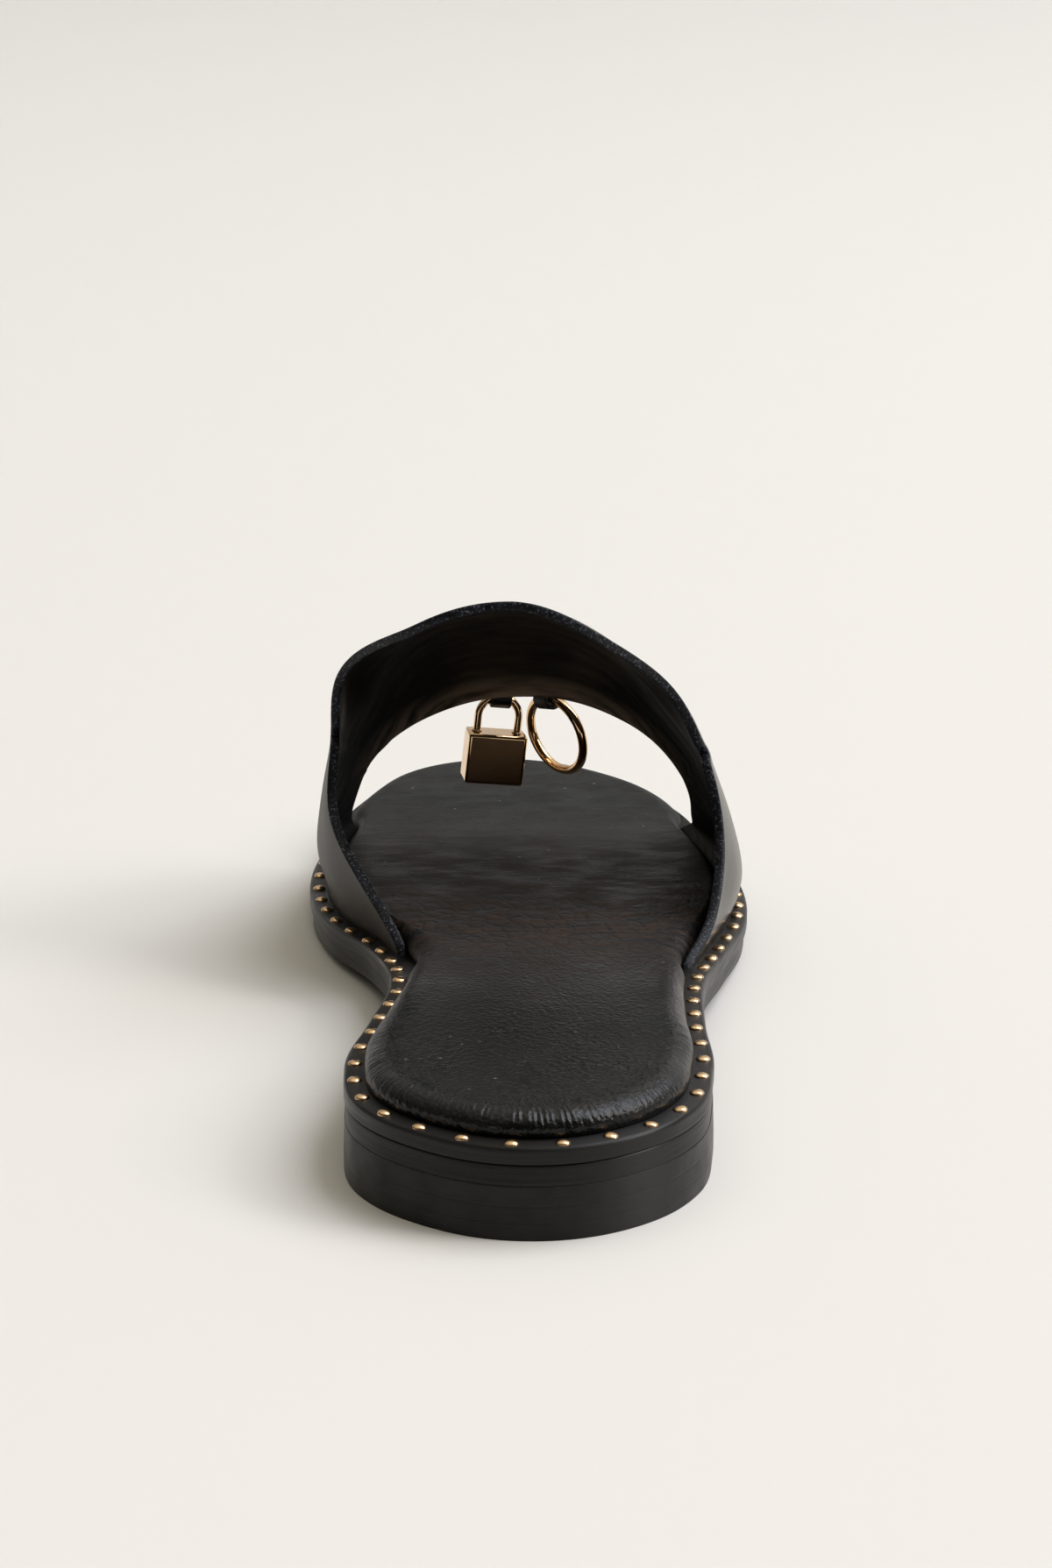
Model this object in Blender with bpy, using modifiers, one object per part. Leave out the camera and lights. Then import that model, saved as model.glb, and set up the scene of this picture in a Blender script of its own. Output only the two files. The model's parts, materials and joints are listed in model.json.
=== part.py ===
# Flat sandal, right foot: stacked low heel, outsole, studded midsole, padded insole, one wide strap
# and two charms that hang from the strap's front edge.
# Tables are in millimetres, in a frame with the heel's back at y = 0, the toe along +Y, the outer
# side of the foot along +X and the floor at z = 0. The finished model is in metres, with its
# origin on the floor under the middle of the sole.

import math

import bmesh
import bpy
import numpy as np
from mathutils import Matrix, Vector
from mathutils.geometry import interpolate_bezier

MM = 0.001
GAP = 0.3

# Sections across the sole: station along the foot, inner and outer edge, top of the midsole.
SOLE_COLUMNS = ("station", "medial", "lateral", "top")
SOLE_SECTIONS = (
    (0.0, 0.0, 0.0, 17.0),
    (8.0, -19.8, 20.8, 17.0),
    (20.0, -29.7, 29.6, 16.9),
    (40.0, -33.1, 33.3, 16.6),
    (65.0, -29.9, 32.9, 15.8),
    (92.0, -27.1, 33.9, 13.9),
    (120.0, -32.0, 39.2, 10.6),
    (146.0, -42.9, 44.5, 8.7),
    (172.0, -47.4, 45.2, 7.2),
    (200.0, -45.4, 40.2, 7.2),
    (222.0, -40.0, 32.0, 9.8),
    (236.0, -31.0, 19.0, 11.4),
    (245.0, -9.5, -9.5, 12.2),
)
OUTLINE_HANDLE = 0.36
OUTLINE_STEPS = 12

MIDSOLE_THICKNESS = 3.2
OUTSOLE_THICKNESS = 3.7
OUTSOLE_INSET = 0.6
OUTSOLE_TAPER = 0.5
OUTSOLE_FLUSH = 0.15
OUTSOLE_TRIM = (60.0, 80.0)

# Heel: planes between the layers, the breast's station and how far the sides draw in below and above.
HEEL_BREAST = 66.0
HEEL_LAYERS = (
    ("heel_top_piece", 0.0, 3.0, -0.1, -0.1),
    ("heel_lift_lower", 3.3, 6.0, -0.1, 0.0),
    ("heel_lift_upper", 6.3, None, 0.0, 0.1),
)

INSOLE_THICKNESS = 4.5
INSOLE_EDGE = 1.4
INSOLE_ROLL = 4.0
INSOLE_MARGIN = 4.2
INSOLE_UNDER_STRAP = 6.7
INSOLE_NARROWS = (88.0, 104.0)
INSOLE_WIDENS = (206.5, 216.0)

# Strap: sections of the last over the foot, then its two edges round the foot.
STRAP_WALL = 2.0
STRAP_MARGIN = 4.0
STRAP_SEAT = 0.4
MEDIAL_FULLNESS = 2.35
LATERAL_FULLNESS = 1.74
MEDIAL_SWELL = 1.7
LATERAL_SWELL = 1.9
SWELL_ANGLE = 0.15
LAST_COLUMNS = ("station", "ridge_x", "ridge_z", "medial_bulge", "lateral_bulge")
LAST_SECTIONS = (
    (100.0, -6.3, 92.7, 12.5, 3.2),
    (125.0, -5.0, 83.5, 10.3, 3.9),
    (150.0, -3.6, 73.0, 6.5, 4.7),
    (175.0, -1.6, 57.4, 2.5, 4.9),
    (200.0, 0.4, 37.9, -0.9, 4.8),
    (215.0, 1.6, 26.2, -1.8, 4.7),
)
BACK_COLUMNS = ("turn", "station", "flare")
BACK_EDGE = (
    (0.00, 114.3, 0.0),
    (0.08, 138.2, 0.3),
    (0.175, 147.1, 0.2),
    (0.25, 146.3, 3.8),
    (0.37, 130.5, -1.3),
    (0.50, 128.2, -1.5),
    (0.63, 127.8, -0.6),
    (0.73, 140.7, 1.9),
    (0.80, 141.2, 1.0),
    (0.90, 135.2, -0.3),
    (1.00, 104.7, 0.0),
)
FRONT_COLUMNS = ("turn", "station")
FRONT_EDGE = (
    (0.00, 206.0),
    (0.04, 204.9),
    (0.09, 198.5),
    (0.15, 194.0),
    (0.30, 191.8),
    (0.50, 189.6),
    (0.70, 191.1),
    (0.85, 198.4),
    (0.91, 205.0),
    (0.96, 207.0),
    (1.00, 207.5),
)
FLARE_DEPTH = 18.0
NOTCH_TURNS = (0.182, 0.803)
NOTCH_DEPTH = 4.0
NOTCH_WIDTH = 0.008
NOTCH_CLEAR = 2.6
STRAP_COLUMNS = 52
STRAP_ROWS = 14

# Finishes.
BLACK_LEATHER = (0.012, 0.012, 0.013)
WARM_BRASS = (0.75, 0.52, 0.34)
BRASS_ROUGHNESS = 0.22

# Leather hangers: a band round the charm, and a tab whose end is sewn into the band's wall.
LOOP_HOLE = 1.7
LOOP_WALL = 0.8
LOOP_WIDTH = 4.4
LOOP_STEPS = 28
TAB_LENGTH = 9.0
TAB_WIDTH = 4.1
TAB_WALL = 0.7
TAB_LIFT = 0.4
TAB_SEAM = 0.35
TAB_ROWS = 6
NECK_POINTS = 9
NECK_LEAVES = 1.4
NECK_ARRIVES = 1.6
NECK_PASSES = 0.5

# Charms: where each hangs, and how it is turned about the vertical and leans to the side. The ring rests
# a little swung out, as in the photo.
PADLOCK_HINGE = (-6.8, 193.0, 43.6)
PADLOCK_YAW = 10.0
PADLOCK_ROLL = 6.5
PADLOCK_WIDTH = 12.9
PADLOCK_THICKNESS = 6.8
PADLOCK_HEIGHT = 11.2
PADLOCK_DROP = 7.9
PADLOCK_ROUNDING = 0.9
SHACKLE_WIRE = 1.5
SHACKLE_RADIUS = 4.45
RING_HINGE = (3.3, 195.0, 42.8)
RING_YAW = -50.0
RING_LEAN = -9.0
RING_SWUNG = 11.0
RING_RADIUS = 8.4
RING_WIRE = 2.0


def smooth(knots, values, at, level=False):
    """Cubic through the knots. With level set it never overshoots, so equal neighbours stay flat."""
    knots = np.asarray(knots, float)
    values = np.asarray(values, float)
    step = np.diff(knots)
    rise = np.diff(values) / step
    inner = (step[1:] * rise[:-1] + step[:-1] * rise[1:]) / (step[1:] + step[:-1])
    if level:
        inner = np.where(rise[:-1] * rise[1:] > 0, inner, 0.0)
    slope = np.concatenate([rise[:1], inner, rise[-1:]])
    k = int(np.clip(np.searchsorted(knots, at) - 1, 0, len(step) - 1))
    s = (at - knots[k]) / step[k]
    return float(
        values[k] * (1 + 2 * s) * (1 - s) ** 2
        + values[k + 1] * (3 - 2 * s) * s**2
        + step[k] * s * (1 - s) * (slope[k] * (1 - s) - slope[k + 1] * s)
    )


def table(rows, columns):
    return {name: [row[i] for row in rows] for i, name in enumerate(columns)}


def ease(low, high, at):
    s = min(max((at - low) / (high - low), 0.0), 1.0)
    return s * s * (3 - 2 * s)


SOLE = table(SOLE_SECTIONS, SOLE_COLUMNS)
LAST = table(LAST_SECTIONS, LAST_COLUMNS)
BACK = table(BACK_EDGE, BACK_COLUMNS)
FRONT = table(FRONT_EDGE, FRONT_COLUMNS)


def sole_outline():
    """The midsole's edge from above, through every section, counter-clockwise from the heel's back."""
    lateral = [Vector((row[2], row[0])) for row in SOLE_SECTIONS]
    medial = [Vector((row[1], row[0])) for row in SOLE_SECTIONS[1:-1]]
    marks = lateral + medial[::-1]
    count = len(marks)
    outline = []

    def heading(i):
        before = marks[i % count] - marks[(i - 1) % count]
        after = marks[(i + 1) % count] - marks[i % count]
        return (before.normalized() * after.length + after.normalized() * before.length).normalized()

    for i, start in enumerate(marks):
        end = marks[(i + 1) % count]
        reach = (end - start).length * OUTLINE_HANDLE
        ends = (start, start + heading(i) * reach, end - heading(i + 1) * reach, end)
        outline += interpolate_bezier(*ends, OUTLINE_STEPS)[:-1]
    return np.array([tuple(point[:2]) for point in outline])


OUTLINE = sole_outline()
CENTRE = (OUTLINE.max(axis=0) + OUTLINE.min(axis=0)) / 2
INSETS = {}


def inset_halves(inset):
    """The outline drawn in by this much, as its lateral and medial halves from heel to toe."""
    if inset not in INSETS:
        along = np.roll(OUTLINE, -1, axis=0) - np.roll(OUTLINE, 1, axis=0)
        along /= np.linalg.norm(along, axis=1)[:, None]
        drawn = OUTLINE - np.stack([along[:, 1], -along[:, 0]], axis=1) * inset
        drawn = np.roll(drawn, -int(drawn[:, 1].argmin()), axis=0)
        toe = int(drawn[:, 1].argmax())
        INSETS[inset] = (drawn[: toe + 1], np.concatenate([drawn[toe:], drawn[:1]])[::-1])
    return INSETS[inset]


def sole_edges(station, inset):
    lateral, medial = inset_halves(inset)
    return (
        float(np.interp(station, medial[:, 1], medial[:, 0])),
        float(np.interp(station, lateral[:, 1], lateral[:, 0])),
    )


def sole_ends(inset):
    lateral = inset_halves(inset)[0]
    return float(lateral[0, 1]), float(lateral[-1, 1])


def midsole_top(station):
    return smooth(SOLE["station"], SOLE["top"], station, level=True)


def outsole_bottom(station):
    return max(midsole_top(station) - MIDSOLE_THICKNESS - GAP - OUTSOLE_THICKNESS, 0.0)


def plan_point(u, v, inset, last_station=None):
    """A point of the inset outline: u runs across it, v from heel to toe, closer set near the ends."""
    heel, toe = sole_ends(inset)
    if last_station is None:
        station = heel + (toe - heel) * (1 - math.cos(math.pi * v)) / 2
    else:
        station = heel + (last_station - heel) * (1 - math.cos(math.pi * v / 2))
    medial, lateral = sole_edges(station, inset)
    return medial + (lateral - medial) * (1 - math.cos(math.pi * u)) / 2, station


def narrowed(x, station, inset, narrow):
    """The same place across the sole when both edges come in by this much more."""
    medial, lateral = sole_edges(station, inset)
    middle = (medial + lateral) / 2
    half = max((lateral - medial) / 2, 1e-6)
    return middle + (x - middle) * max(half - narrow, 0.0) / half


def strap_turn_point(turn, station):
    """The last over the foot: turn runs from the sole's inner edge (0) over the ridge to the outer (1)."""
    ridge_x, ridge_z, medial_bulge, lateral_bulge = (
        smooth(LAST["station"], LAST[name], station) for name in LAST_COLUMNS[1:]
    )
    medial, lateral = sole_edges(station, STRAP_MARGIN)
    seat = midsole_top(station) + STRAP_SEAT
    if turn < 0.5:
        side, edge, bulge, swell, fullness = -1, medial, medial_bulge, MEDIAL_SWELL, MEDIAL_FULLNESS
    else:
        side, edge, bulge, swell, fullness = 1, lateral, lateral_bulge, LATERAL_SWELL, LATERAL_FULLNESS
    angle = math.pi * min(turn, 1 - turn)
    across = max(math.cos(angle), 0.0) ** (2 / fullness)
    up = math.sin(angle) ** (2 / fullness)
    low = (angle / SWELL_ANGLE * math.exp(1 - angle / SWELL_ANGLE)) ** 2
    return Vector((
        ridge_x + (edge - ridge_x) * across + side * (bulge * math.sin(2 * angle) + swell * low),
        station,
        seat + (ridge_z - seat) * up,
    ))


def strap_point(turn, along):
    """The strap's outer face: along runs from its back edge (0) to its front edge (1)."""
    back = smooth(BACK["turn"], BACK["station"], turn)
    back += sum(NOTCH_DEPTH * math.exp(-(((turn - notch) / NOTCH_WIDTH) ** 2)) for notch in NOTCH_TURNS)
    front = smooth(FRONT["turn"], FRONT["station"], turn)
    station = back + (front - back) * along
    point = strap_turn_point(turn, station)
    flare = smooth(BACK["turn"], BACK["flare"], turn) * (1 - ease(0, FLARE_DEPTH, station - back))
    outward = Vector((-math.cos(math.pi * turn), 0, math.sin(math.pi * turn)))
    return point + outward * flare


def strap_turns():
    """Columns of the strap's grid: even, with closer ones at each notch."""
    even = [i / STRAP_COLUMNS for i in range(STRAP_COLUMNS + 1)]
    close = [notch + NOTCH_WIDTH * k for notch in NOTCH_TURNS for k in (-2, -1, 0, 1, 2)]
    kept = [t for t in even if all(abs(t - notch) > NOTCH_CLEAR * NOTCH_WIDTH for notch in NOTCH_TURNS)]
    return sorted(kept + close)


def material(name, colour, roughness, metallic=0.0):
    made = bpy.data.materials.new(name)
    made.use_nodes = True
    shader = made.node_tree.nodes["Principled BSDF"]
    shader.inputs["Base Color"].default_value = (*colour, 1)
    shader.inputs["Roughness"].default_value = roughness
    shader.inputs["Metallic"].default_value = metallic
    return made


def clear_scene():
    for item in list(bpy.data.objects):
        bpy.data.objects.remove(item, do_unlink=True)


def collection(name):
    made = bpy.data.collections.new(name)
    bpy.context.scene.collection.children.link(made)
    return made


def empty(name, place, parent=None, turn=None):
    made = bpy.data.objects.new(name, None)
    made.empty_display_size = 5 * MM
    parts.objects.link(made)
    made.parent = parent
    made.location = Vector(place) * MM
    if turn is not None:
        made.rotation_euler = turn.to_euler()
    return made


def add(name, shape, finish, parent, group=None):
    made = bpy.data.objects.new(name, shape)
    (group or parts).objects.link(made)
    made.parent = parent
    made.data.materials.append(finish)
    return made


def as_helper(item):
    item.hide_render = True
    item.display_type = "WIRE"
    return item


def finish_mesh(work, name, angle=40):
    mesh = bpy.data.meshes.new(name)
    work.to_mesh(mesh)
    work.free()
    mesh.shade_smooth()
    mesh.set_sharp_from_angle(angle=math.radians(angle))
    return mesh


def parameter_grid(columns, rows):
    work = bmesh.new()
    bmesh.ops.create_grid(work, x_segments=columns, y_segments=rows, size=0.5)
    return work


def slab(name, columns, rows, bottom, top):
    """A closed layer: a grid extruded once, its lower and upper points placed by functions of (u, v)."""
    work = parameter_grid(columns, rows)
    upper = bmesh.ops.extrude_face_region(work, geom=work.faces[:])["geom"]
    upper = {item for item in upper if isinstance(item, bmesh.types.BMVert)}
    for vert in work.verts:
        place = top if vert in upper else bottom
        vert.co = Vector(place(vert.co.x + 0.5, vert.co.y + 0.5)) * MM
    bmesh.ops.remove_doubles(work, verts=work.verts, dist=0.004 * MM)
    bmesh.ops.recalc_face_normals(work, faces=work.faces)
    return finish_mesh(work, name)


def sheet(name, columns, rows, place):
    """An open surface, its points placed by a function of (u, v)."""
    work = parameter_grid(columns, rows)
    for vert in work.verts:
        vert.co = Vector(place(vert.co.x + 0.5, vert.co.y + 0.5)) * MM
    return finish_mesh(work, name)


def thicken(item, thickness, offset):
    wall = item.modifiers.new("wall", "SOLIDIFY")
    wall.thickness = thickness * MM
    wall.offset = offset
    wall.use_even_offset = True


def make_midsole():
    def place(drop):
        def point(u, v):
            x, y = plan_point(u, v, 0.0)
            return x, y, midsole_top(y) - drop

        return point

    mesh = slab("midsole", 2, 44, place(MIDSOLE_THICKNESS), place(0.0))
    add("midsole", mesh, material("covered_midsole", BLACK_LEATHER, 0.5), base)


def make_outsole():
    def trimmed(u, v, inset):
        x, y = plan_point(u, v, OUTSOLE_FLUSH)
        return narrowed(x, y, OUTSOLE_FLUSH, (inset - OUTSOLE_FLUSH) * ease(*OUTSOLE_TRIM, y)), y

    def top(u, v):
        x, y = trimmed(u, v, OUTSOLE_INSET)
        return x, y, midsole_top(y) - MIDSOLE_THICKNESS - GAP

    def bottom(u, v):
        x, y = trimmed(u, v, OUTSOLE_INSET + OUTSOLE_TAPER)
        return x, y, outsole_bottom(y)

    mesh = slab("outsole", 2, 44, bottom, top)
    add("outsole", mesh, material("outsole_leather", BLACK_LEATHER, 0.55), base)


def make_heel():
    for name, low, high, inset_low, inset_high in HEEL_LAYERS:

        def bottom(u, v):
            x, y = plan_point(u, v, inset_low, HEEL_BREAST)
            return x, y, low

        def top(u, v):
            x, y = plan_point(u, v, inset_high, HEEL_BREAST)
            return x, y, outsole_bottom(y) - GAP if high is None else high

        add(name, slab(name, 2, 22, bottom, top), material(name + "_board", BLACK_LEATHER, 0.42), base)


def insole_inset(station):
    under = ease(*INSOLE_NARROWS, station) * (1 - ease(*INSOLE_WIDENS, station))
    return INSOLE_MARGIN + (INSOLE_UNDER_STRAP - INSOLE_MARGIN) * under


def make_insole():
    rim = np.concatenate(inset_halves(INSOLE_MARGIN))

    def plan(u, v):
        x, y = plan_point(u, v, INSOLE_MARGIN)
        narrow = insole_inset(y) - INSOLE_MARGIN
        return narrowed(x, y, INSOLE_MARGIN, narrow), y, narrow

    def bottom(u, v):
        x, y, _ = plan(u, v)
        return x, y, midsole_top(y) + GAP

    def top(u, v):
        x, y, narrow = plan(u, v)
        to_rim = np.hypot(rim[:, 0] - x, rim[:, 1] - y).min() - narrow
        inside = min(max(to_rim / INSOLE_ROLL, 0.0), 1.0)
        rise = INSOLE_EDGE + (INSOLE_THICKNESS - INSOLE_EDGE) * math.sqrt(1 - (1 - inside) ** 2)
        return x, y, midsole_top(y) + GAP + rise

    mesh = slab("insole", 16, 48, bottom, top)
    add("insole", mesh, material("padded_insole", BLACK_LEATHER, 0.5), base)


def make_upper():
    turns = strap_turns()

    def place(u, v):
        return strap_point(turns[round(u * (len(turns) - 1))], v)

    mesh = sheet("upper", len(turns) - 1, STRAP_ROWS, place)
    strap = add("upper", mesh, material("strap_leather", BLACK_LEATHER, 0.48), base)
    thicken(strap, STRAP_WALL, -1)


def turn_at(x):
    """The strap's turn whose front edge lies over this x."""
    low, high = 0.3, 0.7
    for _ in range(40):
        middle = (low + high) / 2
        low, high = (middle, high) if strap_point(middle, 1).x < x else (low, middle)
    return (low + high) / 2


def make_loop(name, hinge, turn):
    """A leather hanger: a tab on the strap, a neck over its front edge and a band round the charm."""
    finish = material(name + "_leather", BLACK_LEATHER, 0.5)
    axis = turn @ Vector((1, 0, 0))
    ahead = Vector((0, 0, 1)).cross(axis).normalized()
    crown = Vector(hinge) + axis.cross(ahead).normalized() * (LOOP_HOLE + TAB_SEAM)
    centre = turn_at(hinge[0])
    length = (strap_point(centre, 1) - strap_point(centre, 0)).length

    def lifted(along):
        here = strap_point(centre, along)
        over = (strap_point(centre + 0.01, along) - strap_point(centre - 0.01, along)).normalized()
        forward = (strap_point(centre, along) - strap_point(centre, along - 0.05)).normalized()
        return here + over.cross(forward) * TAB_LIFT, over, forward

    edge, over_edge, forward_edge = lifted(1.0)
    leaving = edge + forward_edge * NECK_LEAVES
    neck = (edge, leaving, crown - ahead * NECK_ARRIVES, crown + ahead * NECK_PASSES)
    path = [lifted(1 - TAB_LENGTH / length * (1 - i / TAB_ROWS))[:2] for i in range(TAB_ROWS)]
    for i, point in enumerate(interpolate_bezier(*neck, NECK_POINTS)):
        path.append((point, over_edge.lerp(axis, ease(0, NECK_POINTS - 1, i)).normalized()))

    def place(u, v):
        point, over = path[round(v * (len(path) - 1))]
        return point + over * (u - 0.5) * TAB_WIDTH

    tab = add(name + "_tab", sheet(name + "_tab", 2, len(path) - 1, place), finish, base, cutters)
    thicken(as_helper(tab), TAB_WALL, 1)

    profile = bmesh.new()
    corners = [
        profile.verts.new(Vector((radius, 0, z)) * MM)
        for radius, z in (
            (LOOP_HOLE + LOOP_WALL, LOOP_WIDTH / 2),
            (LOOP_HOLE + LOOP_WALL, -LOOP_WIDTH / 2),
            (LOOP_HOLE, -LOOP_WIDTH / 2),
            (LOOP_HOLE, LOOP_WIDTH / 2),
        )
    ]
    for i, corner in enumerate(corners):
        profile.edges.new((corner, corners[(i + 1) % 4]))
    mesh = bpy.data.meshes.new(name)
    profile.to_mesh(mesh)
    profile.free()
    loop = add(name, mesh, finish, base)
    loop.location = Vector(hinge) * MM
    loop.rotation_euler = axis.to_track_quat("Z", "Y").to_euler()
    band = loop.modifiers.new("band", "SCREW")
    band.steps = band.render_steps = LOOP_STEPS
    band.use_merge_vertices = True
    band.merge_threshold = 0.00001
    joined = loop.modifiers.new("tab", "BOOLEAN")
    joined.operation = "UNION"
    joined.solver = "MANIFOLD"
    joined.object = tab


def hang(yaw, roll):
    """How a charm is turned: about the vertical, after leaning to the side."""
    return Matrix.Rotation(math.radians(yaw), 3, "Z") @ Matrix.Rotation(math.radians(roll), 3, "Y")


def brass(name):
    return material(name + "_brass", WARM_BRASS, BRASS_ROUGHNESS, 1.0)


def make_padlock():
    turn = hang(PADLOCK_YAW, PADLOCK_ROLL)
    hinge = empty("padlock_hinge", PADLOCK_HINGE, base, turn)

    work = bmesh.new()
    bmesh.ops.create_cube(work, size=1)
    size = Vector((PADLOCK_WIDTH, PADLOCK_THICKNESS, PADLOCK_HEIGHT)) * MM
    bmesh.ops.scale(work, vec=size, verts=work.verts)
    drop = PADLOCK_DROP + PADLOCK_HEIGHT / 2
    bmesh.ops.translate(work, vec=Vector((0, 0, -drop)) * MM, verts=work.verts)
    body = add("padlock_body", finish_mesh(work, "padlock_body"), brass("padlock_body"), hinge)
    edges = body.modifiers.new("rounding", "BEVEL")
    edges.width = PADLOCK_ROUNDING * MM
    edges.segments = 3

    bow = bpy.data.curves.new("padlock_shackle", "CURVE")
    bow.dimensions = "3D"
    bow.bevel_depth = SHACKLE_WIRE / 2 * MM
    bow.bevel_resolution = 3
    bow.use_fill_caps = True
    leg = -(PADLOCK_DROP - GAP)
    arc = [math.radians(180 - 9 * i) for i in range(21)]
    route = [(-SHACKLE_RADIUS, leg)]
    route += [(SHACKLE_RADIUS * math.cos(a), SHACKLE_RADIUS * (math.sin(a) - 1)) for a in arc]
    route += [(SHACKLE_RADIUS, leg)]
    line = bow.splines.new("POLY")
    line.points.add(len(route) - 1)
    for point, (x, z) in zip(line.points, route):
        point.co = (x * MM, 0, z * MM, 1)
    add("padlock_shackle", bow, brass("padlock_shackle"), hinge)
    return turn


def make_ring():
    turn = hang(RING_YAW, RING_LEAN)
    hinge = empty("ring_hinge", RING_HINGE, base, turn)
    bpy.ops.mesh.primitive_torus_add(
        major_radius=RING_RADIUS * MM,
        minor_radius=RING_WIRE / 2 * MM,
        major_segments=40,
        minor_segments=10,
    )
    ring = bpy.context.object
    ring.name = ring.data.name = "charm_ring"
    hanging = Matrix.Translation((0, 0, -RING_RADIUS * MM)) @ Matrix.Rotation(math.pi / 2, 4, "X")
    ring.data.transform(Matrix.Rotation(math.radians(RING_SWUNG), 4, "X") @ hanging)
    ring.data.shade_smooth()
    ring.data.materials.append(brass("charm_ring"))
    for group in list(ring.users_collection):
        group.objects.unlink(ring)
    parts.objects.link(ring)
    ring.parent = hinge
    return turn


clear_scene()
parts = collection("flat_sandal")
cutters = collection("cutters")
base = empty("sandal_base", (-CENTRE[0], -CENTRE[1], 0))
make_outsole()
make_heel()
make_midsole()
make_insole()
make_upper()
make_loop("padlock_loop", PADLOCK_HINGE, make_padlock())
make_loop("ring_loop", RING_HINGE, make_ring())
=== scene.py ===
# Looks of the flat sandal, right foot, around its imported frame.
# Sizes are millimetres in the sandal's own frame: heel back at y 0, toe along +y, outer side of the
# foot along +x, floor at z 0. inMetres() puts them into the frame.
import json
import math
from functools import partial

import bpy
import numpy as np
from mathutils import Matrix, Vector
from mathutils.geometry import interpolate_bezier


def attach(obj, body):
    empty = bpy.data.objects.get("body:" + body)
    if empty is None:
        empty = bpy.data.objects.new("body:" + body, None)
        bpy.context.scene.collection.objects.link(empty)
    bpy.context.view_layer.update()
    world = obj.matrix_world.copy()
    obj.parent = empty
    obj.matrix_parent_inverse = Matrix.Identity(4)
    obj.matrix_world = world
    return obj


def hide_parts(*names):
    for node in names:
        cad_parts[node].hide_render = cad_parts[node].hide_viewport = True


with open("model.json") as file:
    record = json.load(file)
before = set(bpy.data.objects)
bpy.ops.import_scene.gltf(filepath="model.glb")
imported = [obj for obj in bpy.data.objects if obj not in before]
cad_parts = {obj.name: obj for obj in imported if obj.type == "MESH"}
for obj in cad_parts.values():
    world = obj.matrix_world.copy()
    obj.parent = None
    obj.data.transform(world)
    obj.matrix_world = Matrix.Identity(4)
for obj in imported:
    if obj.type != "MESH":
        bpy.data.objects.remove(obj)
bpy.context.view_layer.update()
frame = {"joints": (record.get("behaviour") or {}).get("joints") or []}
dice = np.random.default_rng(11)  # seeded, so each run draws the same


# small tools

def perMetre(*mm):  # pattern scale for features of this size, one for all axes or one for each
    scales = [1000.0 / size for size in mm]
    return scales if len(scales) > 1 else scales[0]


def hexColour(text):  # sRGB hex to linear, as the shader sockets take it
    parts = [int(text[i:i + 2], 16) / 255 for i in (1, 3, 5)]
    return (*[c / 12.92 if c <= 0.04045 else ((c + 0.055) / 1.055) ** 2.4 for c in parts], 1.0)


def feed(node, values):  # each input gets a link, a hex colour or a constant; From and To get both ends
    for socket, value in values.items():
        if socket in ("From", "To"):
            feed(node, {socket + " Min": value[0], socket + " Max": value[1]})
        elif isinstance(value, bpy.types.NodeSocket):
            node.id_data.links.new(value, node.inputs[socket])
        else:
            node.inputs[socket].default_value = hexColour(value) if isinstance(value, str) else value


def addNode(tree, kind, values, out=0, **settings):  # a node with its settings and links; gives one output
    node = tree.nodes.new("ShaderNode" + kind)
    for name, value in settings.items():
        setattr(node, name, value)
    feed(node, values)
    return node.outputs[out]


def newFinish(name, **values):  # a Principled finish with these values: how to add to it and complete it
    finish = bpy.data.materials.new(name)
    finish.use_nodes = True
    shader = finish.node_tree.nodes["Principled BSDF"]
    feed(shader, {socket.replace("_", " "): value for socket, value in values.items()})
    return partial(addNode, finish.node_tree), partial(completeFinish, finish, shader)


def completeFinish(finish, shader, colour, gloss, *relief, **links):
    # relief goes on in layers: each is a pattern, its depth in mm and, where it fades, its strength
    for pattern, depth, *strength in relief:
        layer = {"Height": pattern, "Distance": depth / 1000}
        layer.update({"Normal": links["Normal"]} if "Normal" in links else {})
        layer.update({"Strength": strength[0]} if strength else {})
        links["Normal"] = addNode(finish.node_tree, "Bump", layer)
    feed(shader, {"Base Color": colour, "Roughness": gloss, **links})
    return finish


def deselectAll():
    bpy.ops.object.select_all(action="DESELECT")


def selectOnly(*pieces):  # the first becomes the active one
    deselectAll()
    for piece in pieces:
        piece.select_set(True)
    bpy.context.view_layer.objects.active = pieces[0]


def setMode(mode):
    bpy.ops.object.mode_set(mode=mode)


def wrapGrid(name, across, along, place):  # a flat grid whose points go where place(column, row) says
    deselectAll()
    bpy.ops.mesh.primitive_grid_add(x_subdivisions=across, y_subdivisions=along, size=1)
    piece = bpy.context.object
    piece.name = piece.data.name = name
    flat = np.empty(len(piece.data.vertices) * 3)
    piece.data.vertices.foreach_get("co", flat)
    flat = flat.reshape(-1, 3) + 0.5
    column = np.rint(flat[:, 0] * across).astype(int)
    row = np.rint(flat[:, 1] * along).astype(int)
    piece.data.vertices.foreach_set("co", inMetres(place(column, row)).ravel())
    return piece, column, row


def storeValue(piece, name, values):
    attribute = piece.data.attributes.new(name, "FLOAT", "POINT")
    attribute.data.foreach_set("value", np.asarray(values, np.float32))


def closeSeams(piece, reach=0.002):  # merge what meets, close what is left open, turn all faces outwards
    selectOnly(piece)
    setMode("EDIT")
    bpy.ops.mesh.select_all(action="SELECT")
    bpy.ops.mesh.remove_doubles(threshold=reach / 1000)
    bpy.ops.mesh.dissolve_degenerate(threshold=reach / 1000)
    bpy.ops.mesh.select_all(action="SELECT")
    bpy.ops.mesh.fill_holes(sides=0)
    bpy.ops.mesh.select_all(action="SELECT")
    bpy.ops.mesh.normals_make_consistent(inside=False)
    setMode("OBJECT")


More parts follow.
